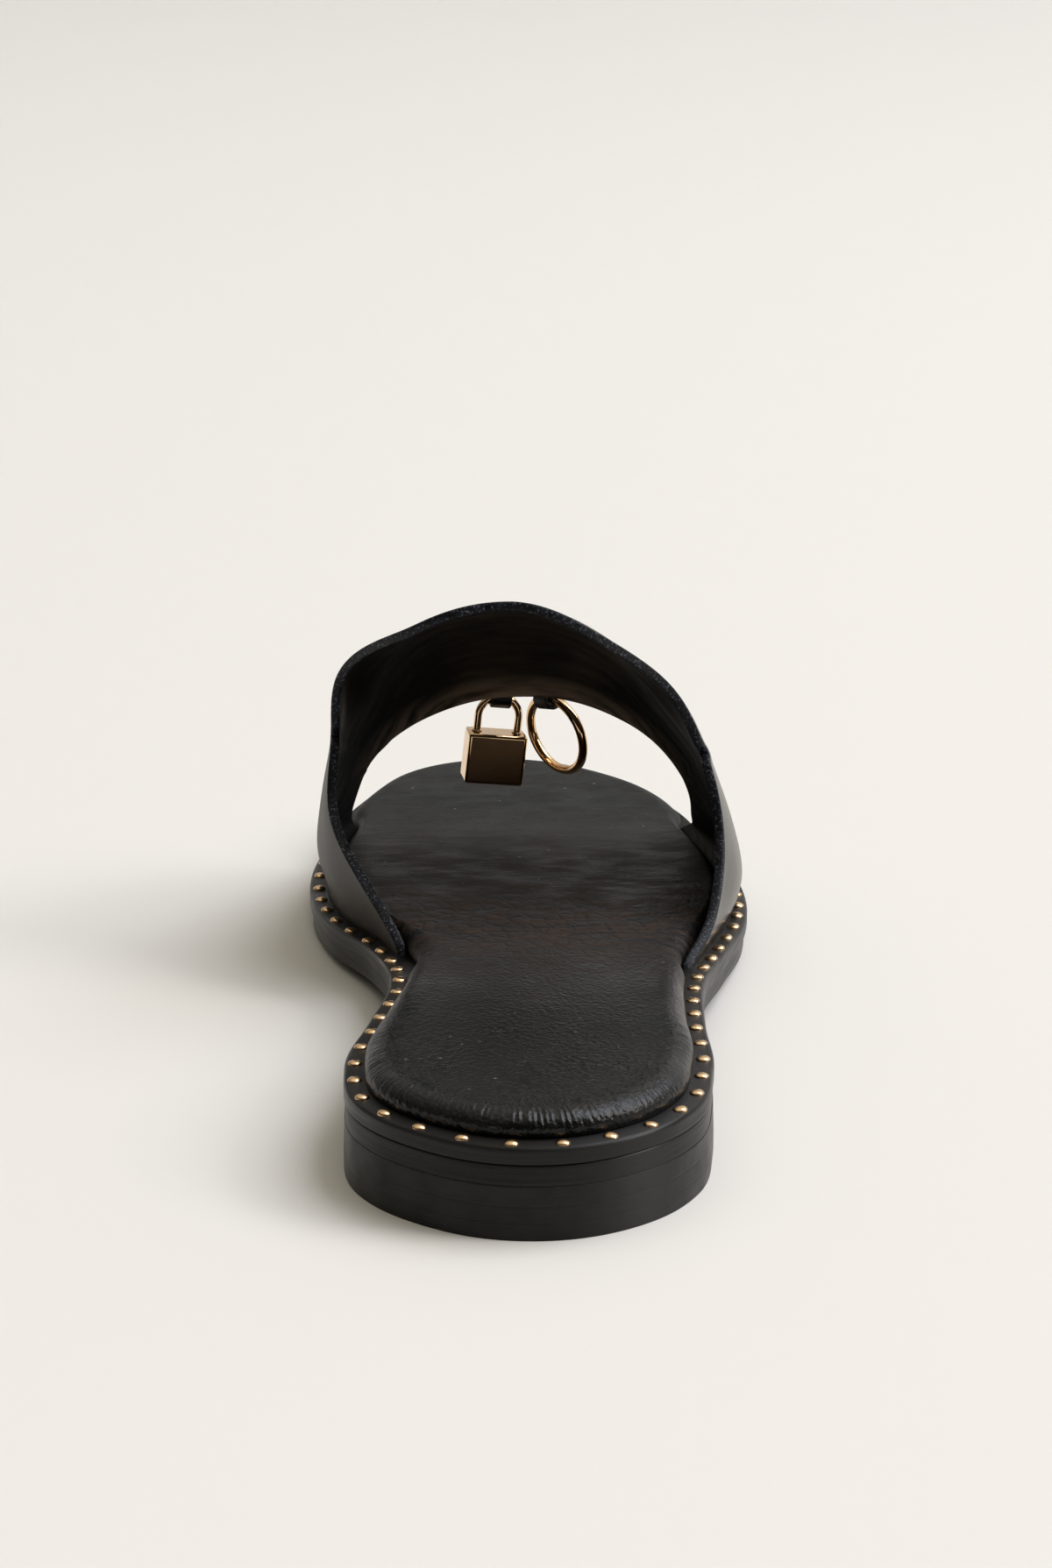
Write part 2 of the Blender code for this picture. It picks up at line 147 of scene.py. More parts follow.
def finishPiece(piece, body, finishes, nodes=(), sharpDegrees=40):
    selectOnly(piece)
    bpy.ops.object.transform_apply(location=True, rotation=True, scale=True)
    bpy.ops.object.shade_smooth_by_angle(angle=math.radians(sharpDegrees))
    for finish in finishes:
        piece.data.materials.append(finish)
    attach(piece, body)
    if nodes:
        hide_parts(*nodes)
    print("made", piece.name, len(piece.data.polygons), "faces")


def ease(low, high, at):
    s = np.clip((np.asarray(at, float) - low) / (high - low), 0, 1)
    return s * s * (3 - 2 * s)


def through(knots, values, at, level=False):  # cubic through the knots; level keeps flat runs flat
    knots, values, at = (np.asarray(part, float) for part in (knots, values, at))
    step = np.diff(knots)
    rise = np.diff(values) / step
    inner = (step[1:] * rise[:-1] + step[:-1] * rise[1:]) / (step[1:] + step[:-1])
    if level:
        inner = np.where(rise[:-1] * rise[1:] > 0, inner, 0.0)
    slope = np.concatenate([rise[:1], inner, rise[-1:]])
    k = np.clip(np.searchsorted(knots, at) - 1, 0, len(step) - 1)
    s = (at - knots[k]) / step[k]
    bend = step[k] * s * (1 - s) * (slope[k] * (1 - s) - slope[k + 1] * s)
    return values[k] * (1 + 2 * s) * (1 - s) ** 2 + values[k + 1] * (3 - 2 * s) * s**2 + bend


def byColumn(columns, rows):
    return {name: np.array([row[i] for row in rows], float) for i, name in enumerate(columns)}


def wavering(at, wavelengths, amounts):  # a soft irregular wave, its phases drawn once
    phases = dice.uniform(0, 2 * math.pi, len(wavelengths))
    waves = [a * np.sin(2 * math.pi * at / w + p) for w, a, p in zip(wavelengths, amounts, phases)]
    return sum(waves)


# the sole's own shape, shared by every layer

soleShape = {
    "handle": 0.36,
    "steps": 24,
    "midsole": 3.2,
    "outsole": 3.7,
    "gap": 0.3,
    "spineEnds": (32.0, 212.0),
    "coreInset": 8.0,
    "coreShares": (1.0, 0.6, 0.25, 0.0),
    "flatFrom": 4,  # in roundings from the edge
    "levelTie": 0.001,
}
soleTable = byColumn(("station", "medial", "lateral", "top"), (
    (0.0, 0.0, 0.0, 17.0),
    (8.0, -19.8, 20.8, 17.0),
    (20.0, -29.7, 29.6, 16.9),
    (40.0, -33.1, 33.3, 16.6),
    (65.0, -29.9, 32.9, 15.8),
    (92.0, -27.1, 33.9, 13.9),
    (120.0, -32.0, 39.2, 10.6),
    (146.0, -42.9, 44.5, 8.7),
    (172.0, -47.4, 45.2, 7.2),
    (200.0, -45.4, 40.2, 7.2),
    (222.0, -40.0, 32.0, 9.8),
    (236.0, -31.0, 19.0, 11.4),
    (245.0, -9.5, -9.5, 12.2),
))


def soleOutline():  # counter-clockwise from the heel's back
    lateral = list(zip(soleTable["lateral"], soleTable["station"]))
    medial = list(zip(soleTable["medial"], soleTable["station"]))[1:-1]
    marks = [Vector(mark) for mark in lateral + medial[::-1]]
    count = len(marks)

    def heading(i):
        before = marks[i % count] - marks[(i - 1) % count]
        after = marks[(i + 1) % count] - marks[i % count]
        return (before.normalized() * after.length + after.normalized() * before.length).normalized()

    outline = []
    for i, start in enumerate(marks):
        end = marks[(i + 1) % count]
        reach = (end - start).length * soleShape["handle"]
        ends = (start, start + heading(i) * reach, end - heading(i + 1) * reach, end)
        outline += interpolate_bezier(*ends, soleShape["steps"])[:-1]
    return np.array([tuple(point[:2]) for point in outline])


outline = soleOutline()
shift = np.array([*(-(outline.max(axis=0) + outline.min(axis=0)) / 2), 0.0])


def inMetres(points):
    return (np.asarray(points, float) + shift) / 1000


def inwardOf(loop):
    along = np.roll(loop, -1, axis=0) - np.roll(loop, 1, axis=0)
    along /= np.linalg.norm(along, axis=1)[:, None]
    return np.stack([-along[:, 1], along[:, 0]], axis=1)


def stepsAlong(line, shares):  # points at these shares of an open line's length
    run = np.concatenate([[0], np.cumsum(np.linalg.norm(np.diff(line, axis=0), axis=1))])
    return np.stack([np.interp(shares * run[-1], run, line[:, i]) for i in range(2)], axis=1)


def evenSteps(line, count):  # points a like distance apart, the line's end left out
    return stepsAlong(line, np.arange(count) / count)


def closedLength(loop):
    return np.linalg.norm(loop - np.roll(loop, 1, axis=0), axis=1).sum()


def pairedLoop(loop, count, crowd=1.0):
    # half the points up the outer side, half back down the inner; crowd packs them towards the heel
    start = int(loop[:, 1].argmin())
    loop = np.roll(loop, -start, axis=0)
    # of points that lie level at the front, the one nearest the middle is the end
    end = int((loop[:, 1] - soleShape["levelTie"] * np.abs(loop[:, 0])).argmax())
    shares = np.arange(count // 2) / (count // 2)
    outer = stepsAlong(loop[:end + 1], shares ** crowd)
    inner = stepsAlong(np.concatenate([loop[end:], loop[:1]]), 1 - (1 - shares) ** crowd)
    return np.concatenate([outer, inner])


def pairedSpine(loop, ends):  # where each point and its partner across the foot meet in the middle
    partner = loop[-np.arange(len(loop)) % len(loop)]
    station = np.clip((loop[:, 1] + partner[:, 1]) / 2, *ends)
    medial, lateral = soleEdges(station, 0.0)
    return np.stack([(medial + lateral) / 2, station], axis=1)


def soleEdges(station, inset):
    drawn = outline + inwardOf(outline) * inset
    drawn = np.roll(drawn, -int(drawn[:, 1].argmin()), axis=0)
    toe = int(drawn[:, 1].argmax())
    lateral = drawn[:toe + 1]
    medial = np.concatenate([drawn[toe:], drawn[:1]])[::-1]
    return np.interp(station, medial[:, 1], medial[:, 0]), np.interp(station, lateral[:, 1], lateral[:, 0])


def midsoleTop(station):
    return through(soleTable["station"], soleTable["top"], station, level=True)


def outsoleBottom(station):
    stack = soleShape["midsole"] + soleShape["gap"] + soleShape["outsole"]
    return np.maximum(midsoleTop(station) - stack, 0.0)


def roundedRows(lowInset, highInset, lowRound, highRound, sideRows=5, arcRows=5):
    # rows of a layer's skin from the middle of its underside to the middle of its top:
    # how far in from the edge, how far on to the spine, bottom (0) to top (1), height added
    core, shares, flatFrom = (soleShape[k] for k in ("coreInset", "coreShares", "flatFrom"))
    rows = [(core, share, 0.0, 0.0) for share in shares]
    rows += [(lowInset + flatFrom * lowRound, 0.0, 0.0, 0.0)]
    for turn in np.linspace(0, math.pi / 2, arcRows):
        inset = lowInset + lowRound * (1 - math.sin(turn))
        rows.append((inset, 0.0, 0.0, lowRound * (1 - math.cos(turn))))
    for share in np.linspace(0, 1, sideRows + 2)[1:-1]:
        inset = lowInset + (highInset - lowInset) * share
        rows.append((inset, 0.0, share, lowRound * (1 - share) - highRound * share))
    for turn in np.linspace(0, math.pi / 2, arcRows):
        inset = highInset + highRound * (1 - math.cos(turn))
        rows.append((inset, 0.0, 1.0, -highRound * (1 - math.sin(turn))))
    rows += [(highInset + flatFrom * highRound, 0.0, 1.0, 0.0)]
    rows += [(core, share, 1.0, 0.0) for share in shares[::-1]]
    return np.array(rows)


def soleLayer(name, loop, rows, low, high, spineEnds=soleShape["spineEnds"], drawnIn=0.0):
    inward = inwardOf(loop)
    loop = loop + inward * np.broadcast_to(drawnIn, len(loop))[:, None]
    spine = pairedSpine(loop, spineEnds)
    count = len(loop)

    def place(column, row):
        i = column % count
        inset, share, level, rise = rows[row].T
        flat = loop[i] + inward[i] * inset[:, None]
        flat += (spine[i] - flat) * share[:, None]
        bottom, top = low(flat[:, 1]), high(flat[:, 1])
        return np.stack([flat[:, 0], flat[:, 1], bottom + (top - bottom) * level + rise], axis=1)

    piece, _, _ = wrapGrid(name, count, len(rows) - 1, place)
    closeSeams(piece)
    return piece


# finishes

noiseSpan = (0.3, 0.7)  # where nearly all of a noise lies
blend = {"out": 2, "data_type": "RGBA"}  # a Mix of two colours, inputs 6 and 7
times = {"operation": "MULTIPLY"}
edgeSheen = {"IOR": 1.5, "Anisotropic_Rotation": 0.25}  # for leather edges drawn along a tool


def midsoleLeather():
    # thin calf leather pulled over the edge: satin black, fine pores, faint lines drawn along the edge
    add, complete = newFinish("calf_leather_wrapped", Specular_IOR_Level=0.36, Anisotropic=0.7, **edgeSheen)
    space = add("TexCoord", {}, "Object")
    grain = add("TexNoise", {"Vector": space, "Scale": perMetre(0.6), "Detail": 3.0})
    cloud = add("TexNoise", {"Vector": space, "Scale": perMetre(9.0)})
    drawn = add("Mapping", {"Vector": space, "Scale": perMetre(18.0, 18.0, 0.5)})
    lines = add("TexNoise", {"Vector": drawn, "Scale": 1.0, "Detail": 3.0})
    colour = add("Mix", {0: cloud, 6: "#040404", 7: "#0d0b09"}, **blend)
    gloss = add("MapRange", {"Value": lines, "From": noiseSpan, "To": (0.36, 0.52)})
    along = add("Tangent", {}, direction_type="RADIAL", axis="Z")
    return complete(colour, gloss, (cloud, 0.05), (lines, 0.03), (grain, 0.03), Tangent=along)


def outsoleLeather():
    # bend leather, edge inked and ironed: satin black with fine lines round the edge, matt below
    add, complete = newFinish("bend_leather_inked", Specular_IOR_Level=0.36, Anisotropic=0.85, **edgeSheen)
    space = add("TexCoord", {}, "Object")
    drawn = add("Mapping", {"Vector": space, "Scale": perMetre(26.0, 26.0, 0.35)})
    lines = add("TexNoise", {"Vector": drawn, "Scale": 1.0, "Detail": 3.0, "Roughness": 0.6})
    fibre = add("TexNoise", {"Vector": space, "Scale": perMetre(0.7), "Detail": 3.0})
    colour = add("Mix", {0: lines, 6: "#050404", 7: "#100d0b"}, **blend)
    gloss = add("MapRange", {"Value": lines, "From": (0.35, 0.65), "To": (0.38, 0.56)})
    along = add("Tangent", {}, direction_type="RADIAL", axis="Z")
    return complete(colour, gloss, (lines, 0.05), (fibre, 0.02), Tangent=along)


def heelBoard():
    # stacked leather board, sanded, inked and waxed: satin black, thin broken level lines, pale rubs
    add, complete = newFinish("stacked_board_waxed", Specular_IOR_Level=0.4, Anisotropic=0.85, **edgeSheen)
    space = add("TexCoord", {}, "Object")
    drawn = add("Mapping", {"Vector": space, "Scale": perMetre(30.0, 30.0, 0.5)})
    lines = add("TexNoise", {"Vector": drawn, "Scale": 1.0, "Detail": 4.0, "Roughness": 0.62})
    wax = add("TexNoise", {"Vector": space, "Scale": perMetre(7.0), "Detail": 3.0})
    level = add("Mapping", {"Vector": space, "Scale": perMetre(5.0, 5.0, 0.25)})
    rubs = add("TexNoise", {"Vector": level, "Scale": 1.0, "Detail": 4.0, "Roughness": 0.65})
    spots = add("TexNoise", {"Vector": space, "Scale": perMetre(10.0)})
    streak = add("MapRange", {"Value": rubs, "From": (0.66, 0.73)})
    patch = add("MapRange", {"Value": spots, "From": (0.52, 0.68)})
    rubbed = add("Math", {0: streak, 1: patch}, **times)
    crack = add("MapRange", {"Value": lines, "From": (0.33, 0.42)})
    ink = add("Mix", {0: wax, 6: "#050404", 7: "#0f0d0b"}, **blend)
    colour = add("Mix", {0: rubbed, 6: ink, 7: "#787470"}, **blend)
    gloss = add("MapRange", {"Value": wax, "From": noiseSpan, "To": (0.36, 0.54)})
    along = add("Tangent", {}, direction_type="RADIAL", axis="Z")
    return complete(colour, gloss, (wax, 0.1), (crack, 0.02), Tangent=along)


def insoleLeather():
    # aniline-dyed lamb leather over foam: black with a tight pebble grain at the heel, streaked brown and
    # cracked where the ball of the foot bends it, the cracks darkened with painted shade, dull grey at the
    # toes, a few specks of dust; the grain is drawn a little coarser than life so that it shows
    add, complete = newFinish("lamb_leather_padded", IOR=1.48, Specular_IOR_Level=0.36)
    space = add("TexCoord", {}, "Object")
    place = add("SeparateXYZ", {"Vector": space}, "Y")
    pebbles = add("TexVoronoi", {"Vector": space, "Scale": perMetre(0.85)}, feature="SMOOTH_F1")
    grain = add("TexNoise", {"Vector": space, "Scale": perMetre(0.5), "Detail": 2.0})
    laid = add("Mapping", {"Vector": space, "Scale": perMetre(8.0, 2.8, 20.0)})
    streaks = add("TexNoise", {"Vector": laid, "Scale": 1.0, "Detail": 5.0, "Roughness": 0.58})
    bent = add("Mapping", {"Vector": space, "Scale": perMetre(2.2, 3.0, 4.0)})
    bentWild = add("TexNoise", {"Vector": bent, "Scale": 1.6, "Detail": 2.0}, "Color")
    bentWavy = add("Mix", {0: 0.35, 4: bent, 5: bentWild}, 1, data_type="VECTOR")
    cells = add("TexVoronoi", {"Vector": bentWavy, "Scale": 1.0}, feature="DISTANCE_TO_EDGE")
    crackle = add("MapRange", {"Value": cells, "From": (0.0, 0.2)})
    cloud = add("TexNoise", {"Vector": space, "Scale": perMetre(14.0), "Detail": 3.0})
    ballStart = add("MapRange", {"Value": place, "From": (-0.046, -0.012)})
    bendEnd = add("MapRange", {"Value": place, "From": (0.0, 0.04), "To": (1.0, 0.0)})
    bendZone = add("Math", {0: ballStart, 1: bendEnd}, **times)
    mottle = add("MapRange", {"Value": streaks, "From": (0.41, 0.6)})
    worn = add("Math", {0: ballStart, 1: mottle}, **times)
    toes = add("MapRange", {"Value": place, "From": (0.03, 0.09)})
    dyed = add("Mix", {0: cloud, 6: "#040405", 7: "#0a0a0c"}, **blend)
    rubbed = add("Mix", {0: toes, 6: "#37281d", 7: "#272825"}, **blend)
    stained = add("Mix", {0: worn, 6: dyed, 7: rubbed}, **blend)
    # painted shade: the crack lines where the ball of the foot bends the pad are darkened to near black, as
    # if shaded in the creases
    cracks = add("MapRange", {"Value": crackle, "To": (0.5, 0.0)})
    crackShadeMask = add("Math", {0: cracks, 1: bendZone}, **times)
    inked = add("Mix", {0: crackShadeMask, 6: stained, 7: "#060505"}, **blend)
    crumbs = add("TexVoronoi", {"Vector": space, "Scale": perMetre(5.0)})
    dust = add("MapRange", {"Value": crumbs, "From": (0.04, 0.07), "To": (0.8, 0.0)})
    colour = add("Mix", {0: dust, 6: inked, 7: "#77746e"}, **blend)
    satin = add("MapRange", {"Value": cloud, "From": noiseSpan, "To": (0.27, 0.38)})
    patchy = add("MapRange", {"Value": mottle, "To": (0.2, 0.38)})
    dull = add("Math", {0: ballStart, 1: patchy}, **times)
    gloss = add("Math", {0: satin, 1: dull}, operation="ADD")
    creased = add("Math", {0: crackle, 1: bendZone}, **times)
    rubbedIn = add("Math", {0: streaks, 1: ballStart}, **times)
    flattened = add("MapRange", {"Value": place, "From": (-0.02, 0.06), "To": (1.0, 0.3)})
    folds = (rubbedIn, 0.12), (creased, 0.14)
    return complete(colour, gloss, *folds, (pebbles, 0.15, flattened), (grain, 0.1, flattened))


def strapSpace(add):  # metres over the foot and forward from the strap's back edge
    over = add("Attribute", {}, "Fac", attribute_name="around")
    ahead = add("Attribute", {}, "Fac", attribute_name="fromBack")
    flat = add("CombineXYZ", {"X": over, "Y": ahead})
    return add("VectorMath", {0: flat, "Scale": 0.001}, operation="SCALE")


def strapLeather():
    # box calf, dyed through and brushed with wax: black, with a brown-grey satin bloom along the sides
    # and faint brushed streaks that run up round the foot
    add, complete = newFinish(
        "box_calf_brushed", IOR=1.5, Specular_IOR_Level=0.5,
        Sheen_Weight=0.05, Sheen_Roughness=0.4, Sheen_Tint="#c9ab8a",
    )
    space = strapSpace(add)
    brushed = add("Mapping", {"Vector": space, "Scale": perMetre(34.0, 0.8, 1.0)})
    streaks = add("TexNoise", {"Vector": brushed, "Scale": 1.0, "Detail": 4.0, "Roughness": 0.6})
    cloud = add("TexNoise", {"Vector": space, "Scale": perMetre(12.0), "Detail": 3.0})
    pores = add("TexNoise", {"Vector": space, "Scale": perMetre(0.5)})
    colour = add("Mix", {0: streaks, 6: "#070605", 7: "#15110e"}, **blend)
    waxed = add("MapRange", {"Value": streaks, "From": noiseSpan, "To": (0.27, 0.31)})
    over = add("Attribute", {}, "Fac", attribute_name="around")
    duller = add("MapRange", {"Value": over, "From": (20.0, 150.0), "To": (0.2, 0.0)})
    gloss = add("Math", {0: waxed, 1: duller}, operation="ADD")
    return complete(colour, gloss, (cloud, 0.12), (streaks, 0.008), (pores, 0.02))


def strapLining():
    # vegetable-tanned lining dyed black, unwaxed: dull and very dark, worn to brown by the front edge
    add, complete = newFinish("lining_leather_dyed", IOR=1.45, Specular_IOR_Level=0.12)
    space = strapSpace(add)
    laid = add("Mapping", {"Vector": space, "Scale": perMetre(7.0, 1.2, 1.0)})
    fibre = add("TexNoise", {"Vector": laid, "Scale": 1.0, "Detail": 4.0, "Roughness": 0.65})
    spread = add("Mapping", {"Vector": space, "Scale": perMetre(15.0, 5.0, 1.0)})
    cloud = add("TexNoise", {"Vector": spread, "Scale": 1.0, "Detail": 4.0})
    fromFront = add("Attribute", {}, "Fac", attribute_name="fromFront")
    nearFront = add("MapRange", {"Value": fromFront, "From": (0.5, 12.0), "To": (1.0, 0.0)})
    patch = add("MapRange", {"Value": cloud, "From": (0.34, 0.58)})
    own = add("TexCoord", {}, "Object")
    height = add("SeparateXYZ", {"Vector": own}, "Z")
    overFoot = add("MapRange", {"Value": height, "From": (0.022, 0.036)})
    patchy = add("Math", {0: nearFront, 1: patch}, **times)
    worn = add("Math", {0: patchy, 1: overFoot}, **times)
    dyed = add("Mix", {0: fibre, 6: "#0b0a09", 7: "#13110f"}, **blend)
    colour = add("Mix", {0: worn, 6: dyed, 7: "#a08b78"}, **blend)
    gloss = add("MapRange", {"Value": cloud, "From": noiseSpan, "To": (0.44, 0.62)})
    return complete(colour, gloss, (cloud, 0.2), (fibre, 0.03))


def edgePaint():
    # cut edge, inked blue-black and burnished: paler fibres show through as specks
    add, complete = newFinish("cut_edge_inked", IOR=1.5, Specular_IOR_Level=0.2)
    space = add("TexCoord", {}, "Object")
    fibre = add("TexNoise", {"Vector": space, "Scale": perMetre(1.6), "Detail": 4.0, "Roughness": 0.7})
    fleck = add("TexNoise", {"Vector": space, "Scale": perMetre(0.5), "Detail": 2.0})
    thin = add("MapRange", {"Value": fibre, "From": (0.38, 0.7)})
    bare = add("MapRange", {"Value": fleck, "From": (0.56, 0.68)})
    inked = add("Mix", {0: thin, 6: "#050608", 7: "#171a22"}, **blend)
    colour = add("Mix", {0: bare, 6: inked, 7: "#52555f"}, **blend)
    gloss = add("MapRange", {"Value": fibre, "From": noiseSpan, "To": (0.36, 0.58)})
    return complete(colour, gloss, (fibre, 0.12), (fleck, 0.07))


def loopLeather():
    # calf strip folded over: satin black, fine pores
    add, complete = newFinish("calf_strip_folded", IOR=1.5, Specular_IOR_Level=0.25)
    space = add("TexCoord", {}, "Object")
    pores = add("TexNoise", {"Vector": space, "Scale": perMetre(0.5), "Detail": 3.0})
    colour = add("Mix", {0: pores, 6: "#050505", 7: "#0c0b0a"}, **blend)
    gloss = add("MapRange", {"Value": pores, "From": noiseSpan, "To": (0.36, 0.52)})
    return complete(colour, gloss, (pores, 0.03))


def plateBrass(name, brightest, dullest, haze):
    # die-cast and plated pale rose gold: mirror-like, with a slight handling haze; haze is in mm
    add, complete = newFinish(name, Metallic=1.0)
    space = add("TexCoord", {}, "Object")
    breath = add("TexNoise", {"Vector": space, "Scale": perMetre(3.0), "Detail": 4.0})
    colour = add("Mix", {0: breath, 6: "#dcb383", 7: "#e6c7a1"}, **blend)
    gloss = add("MapRange", {"Value": breath, "From": noiseSpan, "To": (brightest, dullest)})
    return complete(colour, gloss, (breath, haze))


brass = plateBrass("plated_brass_polished", 0.072, 0.12, 0.004)
print("finishes ready")


# midsole, outsole and the stacked heel

layerSizes = {
    "pointsRound": 520,
    "midsoleRounds": (0.35, 0.75),
    "outsoleInsets": (0.22, 0.15),
    "outsoleDrawsIn": 0.45,
    "outsoleTrim": (60.0, 80.0),
    "outsoleRounds": (0.04, 0.3),
    "groove": 0.1,
}
edgeLoop = pairedLoop(outline, layerSizes["pointsRound"])

midsole = soleLayer(
    "midsole_cover", edgeLoop,
    roundedRows(0.0, 0.0, *layerSizes["midsoleRounds"]),
    lambda y: midsoleTop(y) - soleShape["midsole"], midsoleTop,
)
finishPiece(midsole, "sandal", [midsoleLeather()], ["midsole"])

outsole = soleLayer(
    "outsole_layer", edgeLoop,
    roundedRows(*layerSizes["outsoleInsets"], *layerSizes["outsoleRounds"]),
    outsoleBottom, lambda y: midsoleTop(y) - soleShape["midsole"] - layerSizes["groove"],
    drawnIn=layerSizes["outsoleDrawsIn"] * ease(*layerSizes["outsoleTrim"], edgeLoop[:, 1]),
)
finishPiece(outsole, "sandal", [outsoleLeather()], ["outsole"])

heelStack = {
    "breast": 66.0,
    "cornerSoften": 9,
    "pointsRound": 420,
    "spineEnds": (30.0, 44.0),
    "rounds": (0.025, 0.025),
    "seam": 0.015,
    # name, bottom, top (none: up to the outsole), how far in at the bottom and at the top
    "layers": (
        ("heel_top_piece", 0.0, 3.15, -0.1, -0.1),
        ("heel_lift_lower", 3.15, 6.15, -0.1, 0.0),
        ("heel_lift_upper", 6.15, None, 0.0, 0.1),
    ),
}


def heelLoop():  # the sole's outline up to the breast, closed straight across, corners softened
    medial, lateral = (float(side) for side in soleEdges(heelStack["breast"], 0.0))
    behind = outline[outline[:, 1] <= heelStack["breast"]]
    start = int(np.argmax(np.where(behind[:, 0] < 0, behind[:, 1], -np.inf)))
    behind = np.roll(behind, -start, axis=0)
    corners = np.array([[lateral, heelStack["breast"]], [medial, heelStack["breast"]]])
    closed = np.concatenate([behind, corners])
    loop = evenSteps(np.concatenate([closed, closed[:1]]), heelStack["pointsRound"])
    window = heelStack["cornerSoften"]
    loop = sum(np.roll(loop, k, axis=0) for k in range(-window // 2 + 1, window // 2 + 1)) / window
    return pairedLoop(loop, heelStack["pointsRound"])


board = heelBoard()
heelEdge = heelLoop()
for name, low, high, lowInset, highInset in heelStack["layers"]:
    seam = heelStack["seam"] / 2
    lowest = low + (seam if low else 0.0)
    layer = soleLayer(
        name + "_board", heelEdge,
        roundedRows(lowInset, highInset, *heelStack["rounds"]),
        lambda y, z=lowest: np.full(len(y), z),
        lambda y, z=high: outsoleBottom(y) - seam if z is None else np.full(len(y), z - seam),
        heelStack["spineEnds"],
    )
    finishPiece(layer, "sandal", [board], [name])


# padded insole

insolePad = {
    "pointsRound": 1400,
    "crowd": 1.6,
    "margin": 3.8,
    "frontMargin": 3.2,
    "underStrap": 6.15,
    "narrows": (88.0, 104.0),
    "widens": (206.5, 214.0),
    "steepUnderStrap": 0.4,
    "steepens": (108.0, 128.0),
    "thickness": 4.6,
    "sit": 0.03,
    "tuck": 0.45,
    "edge": 1.3,
    "roll": 4.6,
    "frontFrom": 150.0,
    "innerFrom": -9.75,
    "underInset": 6.0,
    "tuckRows": 7,
    "rollRows": 17,
    "crownInsets": (4.7, 5.3, 6.0, 6.8, 7.8),
    "crownRows": 26,
    "rimDistance": 40.0,
    "topFrom": (0.5, 1.5),  # in heights of the edge
    "softWave": ((37.0, 61.0, 23.0), (0.05, 0.06, 0.03)),
    "softReach": 6.0,
    "dentsFrom": (1.5, 6.0),
}
# fine gathers round the heel's rim; each wave is its lengths and heights
padGathers = {
    "depth": 0.15,
    "peak": 2.2,
    "reach": 8.0,
    "ends": (38.0, 80.0),
    "least": 0.2,
    "slant": 0.35,
    "sway": ((5.0, 9.0), (0.25, 0.3)),
    "waves": ((1.15, 1.45, 1.9, 2.9), (0.34, 0.36, 0.3, 0.25)),
    "swell": ((17.0, 29.0, 47.0), (0.22, 0.25, 0.2)),
    "swellMean": 0.65,
    "swellLimits": (0.1, 1.2),
}
padBends = {"sway": 0.6, "swayLength": 3.1, "ridge": 0.5, "ridgeWidth": 2.6}
heelHollow = {"x": 0.5, "y": 32.0, "width": 17.0, "length": 24.0, "depth": 0.2}
# bends across the pad: middle x and y, half length, half width, depth, slant
padCreases = byColumn(("x", "y", "length", "width", "depth", "slant"), (
    (12.0, 116.0, 11.0, 0.8, 0.16, 0.10),
    (22.0, 119.5, 9.0, 0.7, 0.15, -0.15),
    (17.0, 123.0, 12.0, 0.9, 0.14, 0.05),
    (3.0, 121.0, 8.0, 0.8, 0.10, 0.20),
    (-11.0, 118.5, 9.0, 0.8, 0.10, -0.10),
    (-18.0, 126.0, 10.0, 0.9, 0.11, 0.12),
    (8.0, 129.0, 14.0, 1.1, 0.10, -0.06),
    (25.0, 132.0, 8.0, 0.9, 0.11, 0.15),
    (-4.0, 136.0, 16.0, 1.3, 0.09, 0.04),
    (18.0, 143.0, 15.0, 1.4, 0.08, -0.05),
    (-20.0, 146.0, 13.0, 1.4, 0.08, 0.08),
))
padLoop = pairedLoop(outline, insolePad["pointsRound"], insolePad["crowd"])
padInward = inwardOf(padLoop)
padRun = np.cumsum(np.linalg.norm(padLoop - np.roll(padLoop, 1, axis=0), axis=1))
# along the inner side the run counts back from the heel
padRun = np.where(padLoop[:, 0] < insolePad["innerFrom"], padRun - padRun[-1], padRun)


def insoleInset(station):  # narrow under the strap, out to the sole's edge in front of it
    margin = np.where(station > insolePad["frontFrom"], insolePad["frontMargin"], insolePad["margin"])
    under = ease(*insolePad["narrows"], station) * (1 - ease(*insolePad["widens"], station))
    return margin + (insolePad["underStrap"] - margin) * under


def rimReach(station):  # the rolled rim is short where the strap's lining stands against it
    under = ease(*insolePad["steepens"], station) * (1 - ease(*insolePad["widens"], station))
    return 1 + (insolePad["steepUnderStrap"] - 1) * under


def insoleRows():  # how far in, how far on to the spine, height over the midsole
    tuck, edge, roll, thick = (insolePad[k] for k in ("tuck", "edge", "roll", "thickness"))
    rows = [(insolePad["underInset"], share, 0.0) for share in (1.0, 0.5, 0.0)]
    for turn in np.linspace(0, math.pi / 2, insolePad["tuckRows"]):
        rows.append((tuck * (1 - math.sin(turn)), 0.0, edge * (1 - math.cos(turn))))
    for turn in np.linspace(0, math.pi / 2, insolePad["rollRows"])[1:]:
        rows.append((roll * (1 - math.cos(turn)), 0.0, edge + (thick - edge) * math.sin(turn)))
    rows += [(inset, 0.0, thick) for inset in insolePad["crownInsets"]]
    last = insolePad["crownInsets"][-1]
    rows += [(last, share, thick) for share in np.linspace(0, 1, insolePad["crownRows"])[1:]]
    return np.array(rows)


def padWrinkles(run, inset, station):  # strong round the heel, faint further on
    slanted = run + padGathers["slant"] * inset + wavering(inset, *padGathers["sway"])
    waves = wavering(slanted, *padGathers["waves"])
    swell = padGathers["swellMean"] + wavering(run, *padGathers["swell"])
    fade = np.exp(-((inset - padGathers["peak"]) / (padGathers["reach"] / 2)) ** 2)
    least = padGathers["least"]
    atHeel = least + (1 - least) * (1 - ease(*padGathers["ends"], station))
    return padGathers["depth"] * waves * np.clip(swell, *padGathers["swellLimits"]) * fade * atHeel


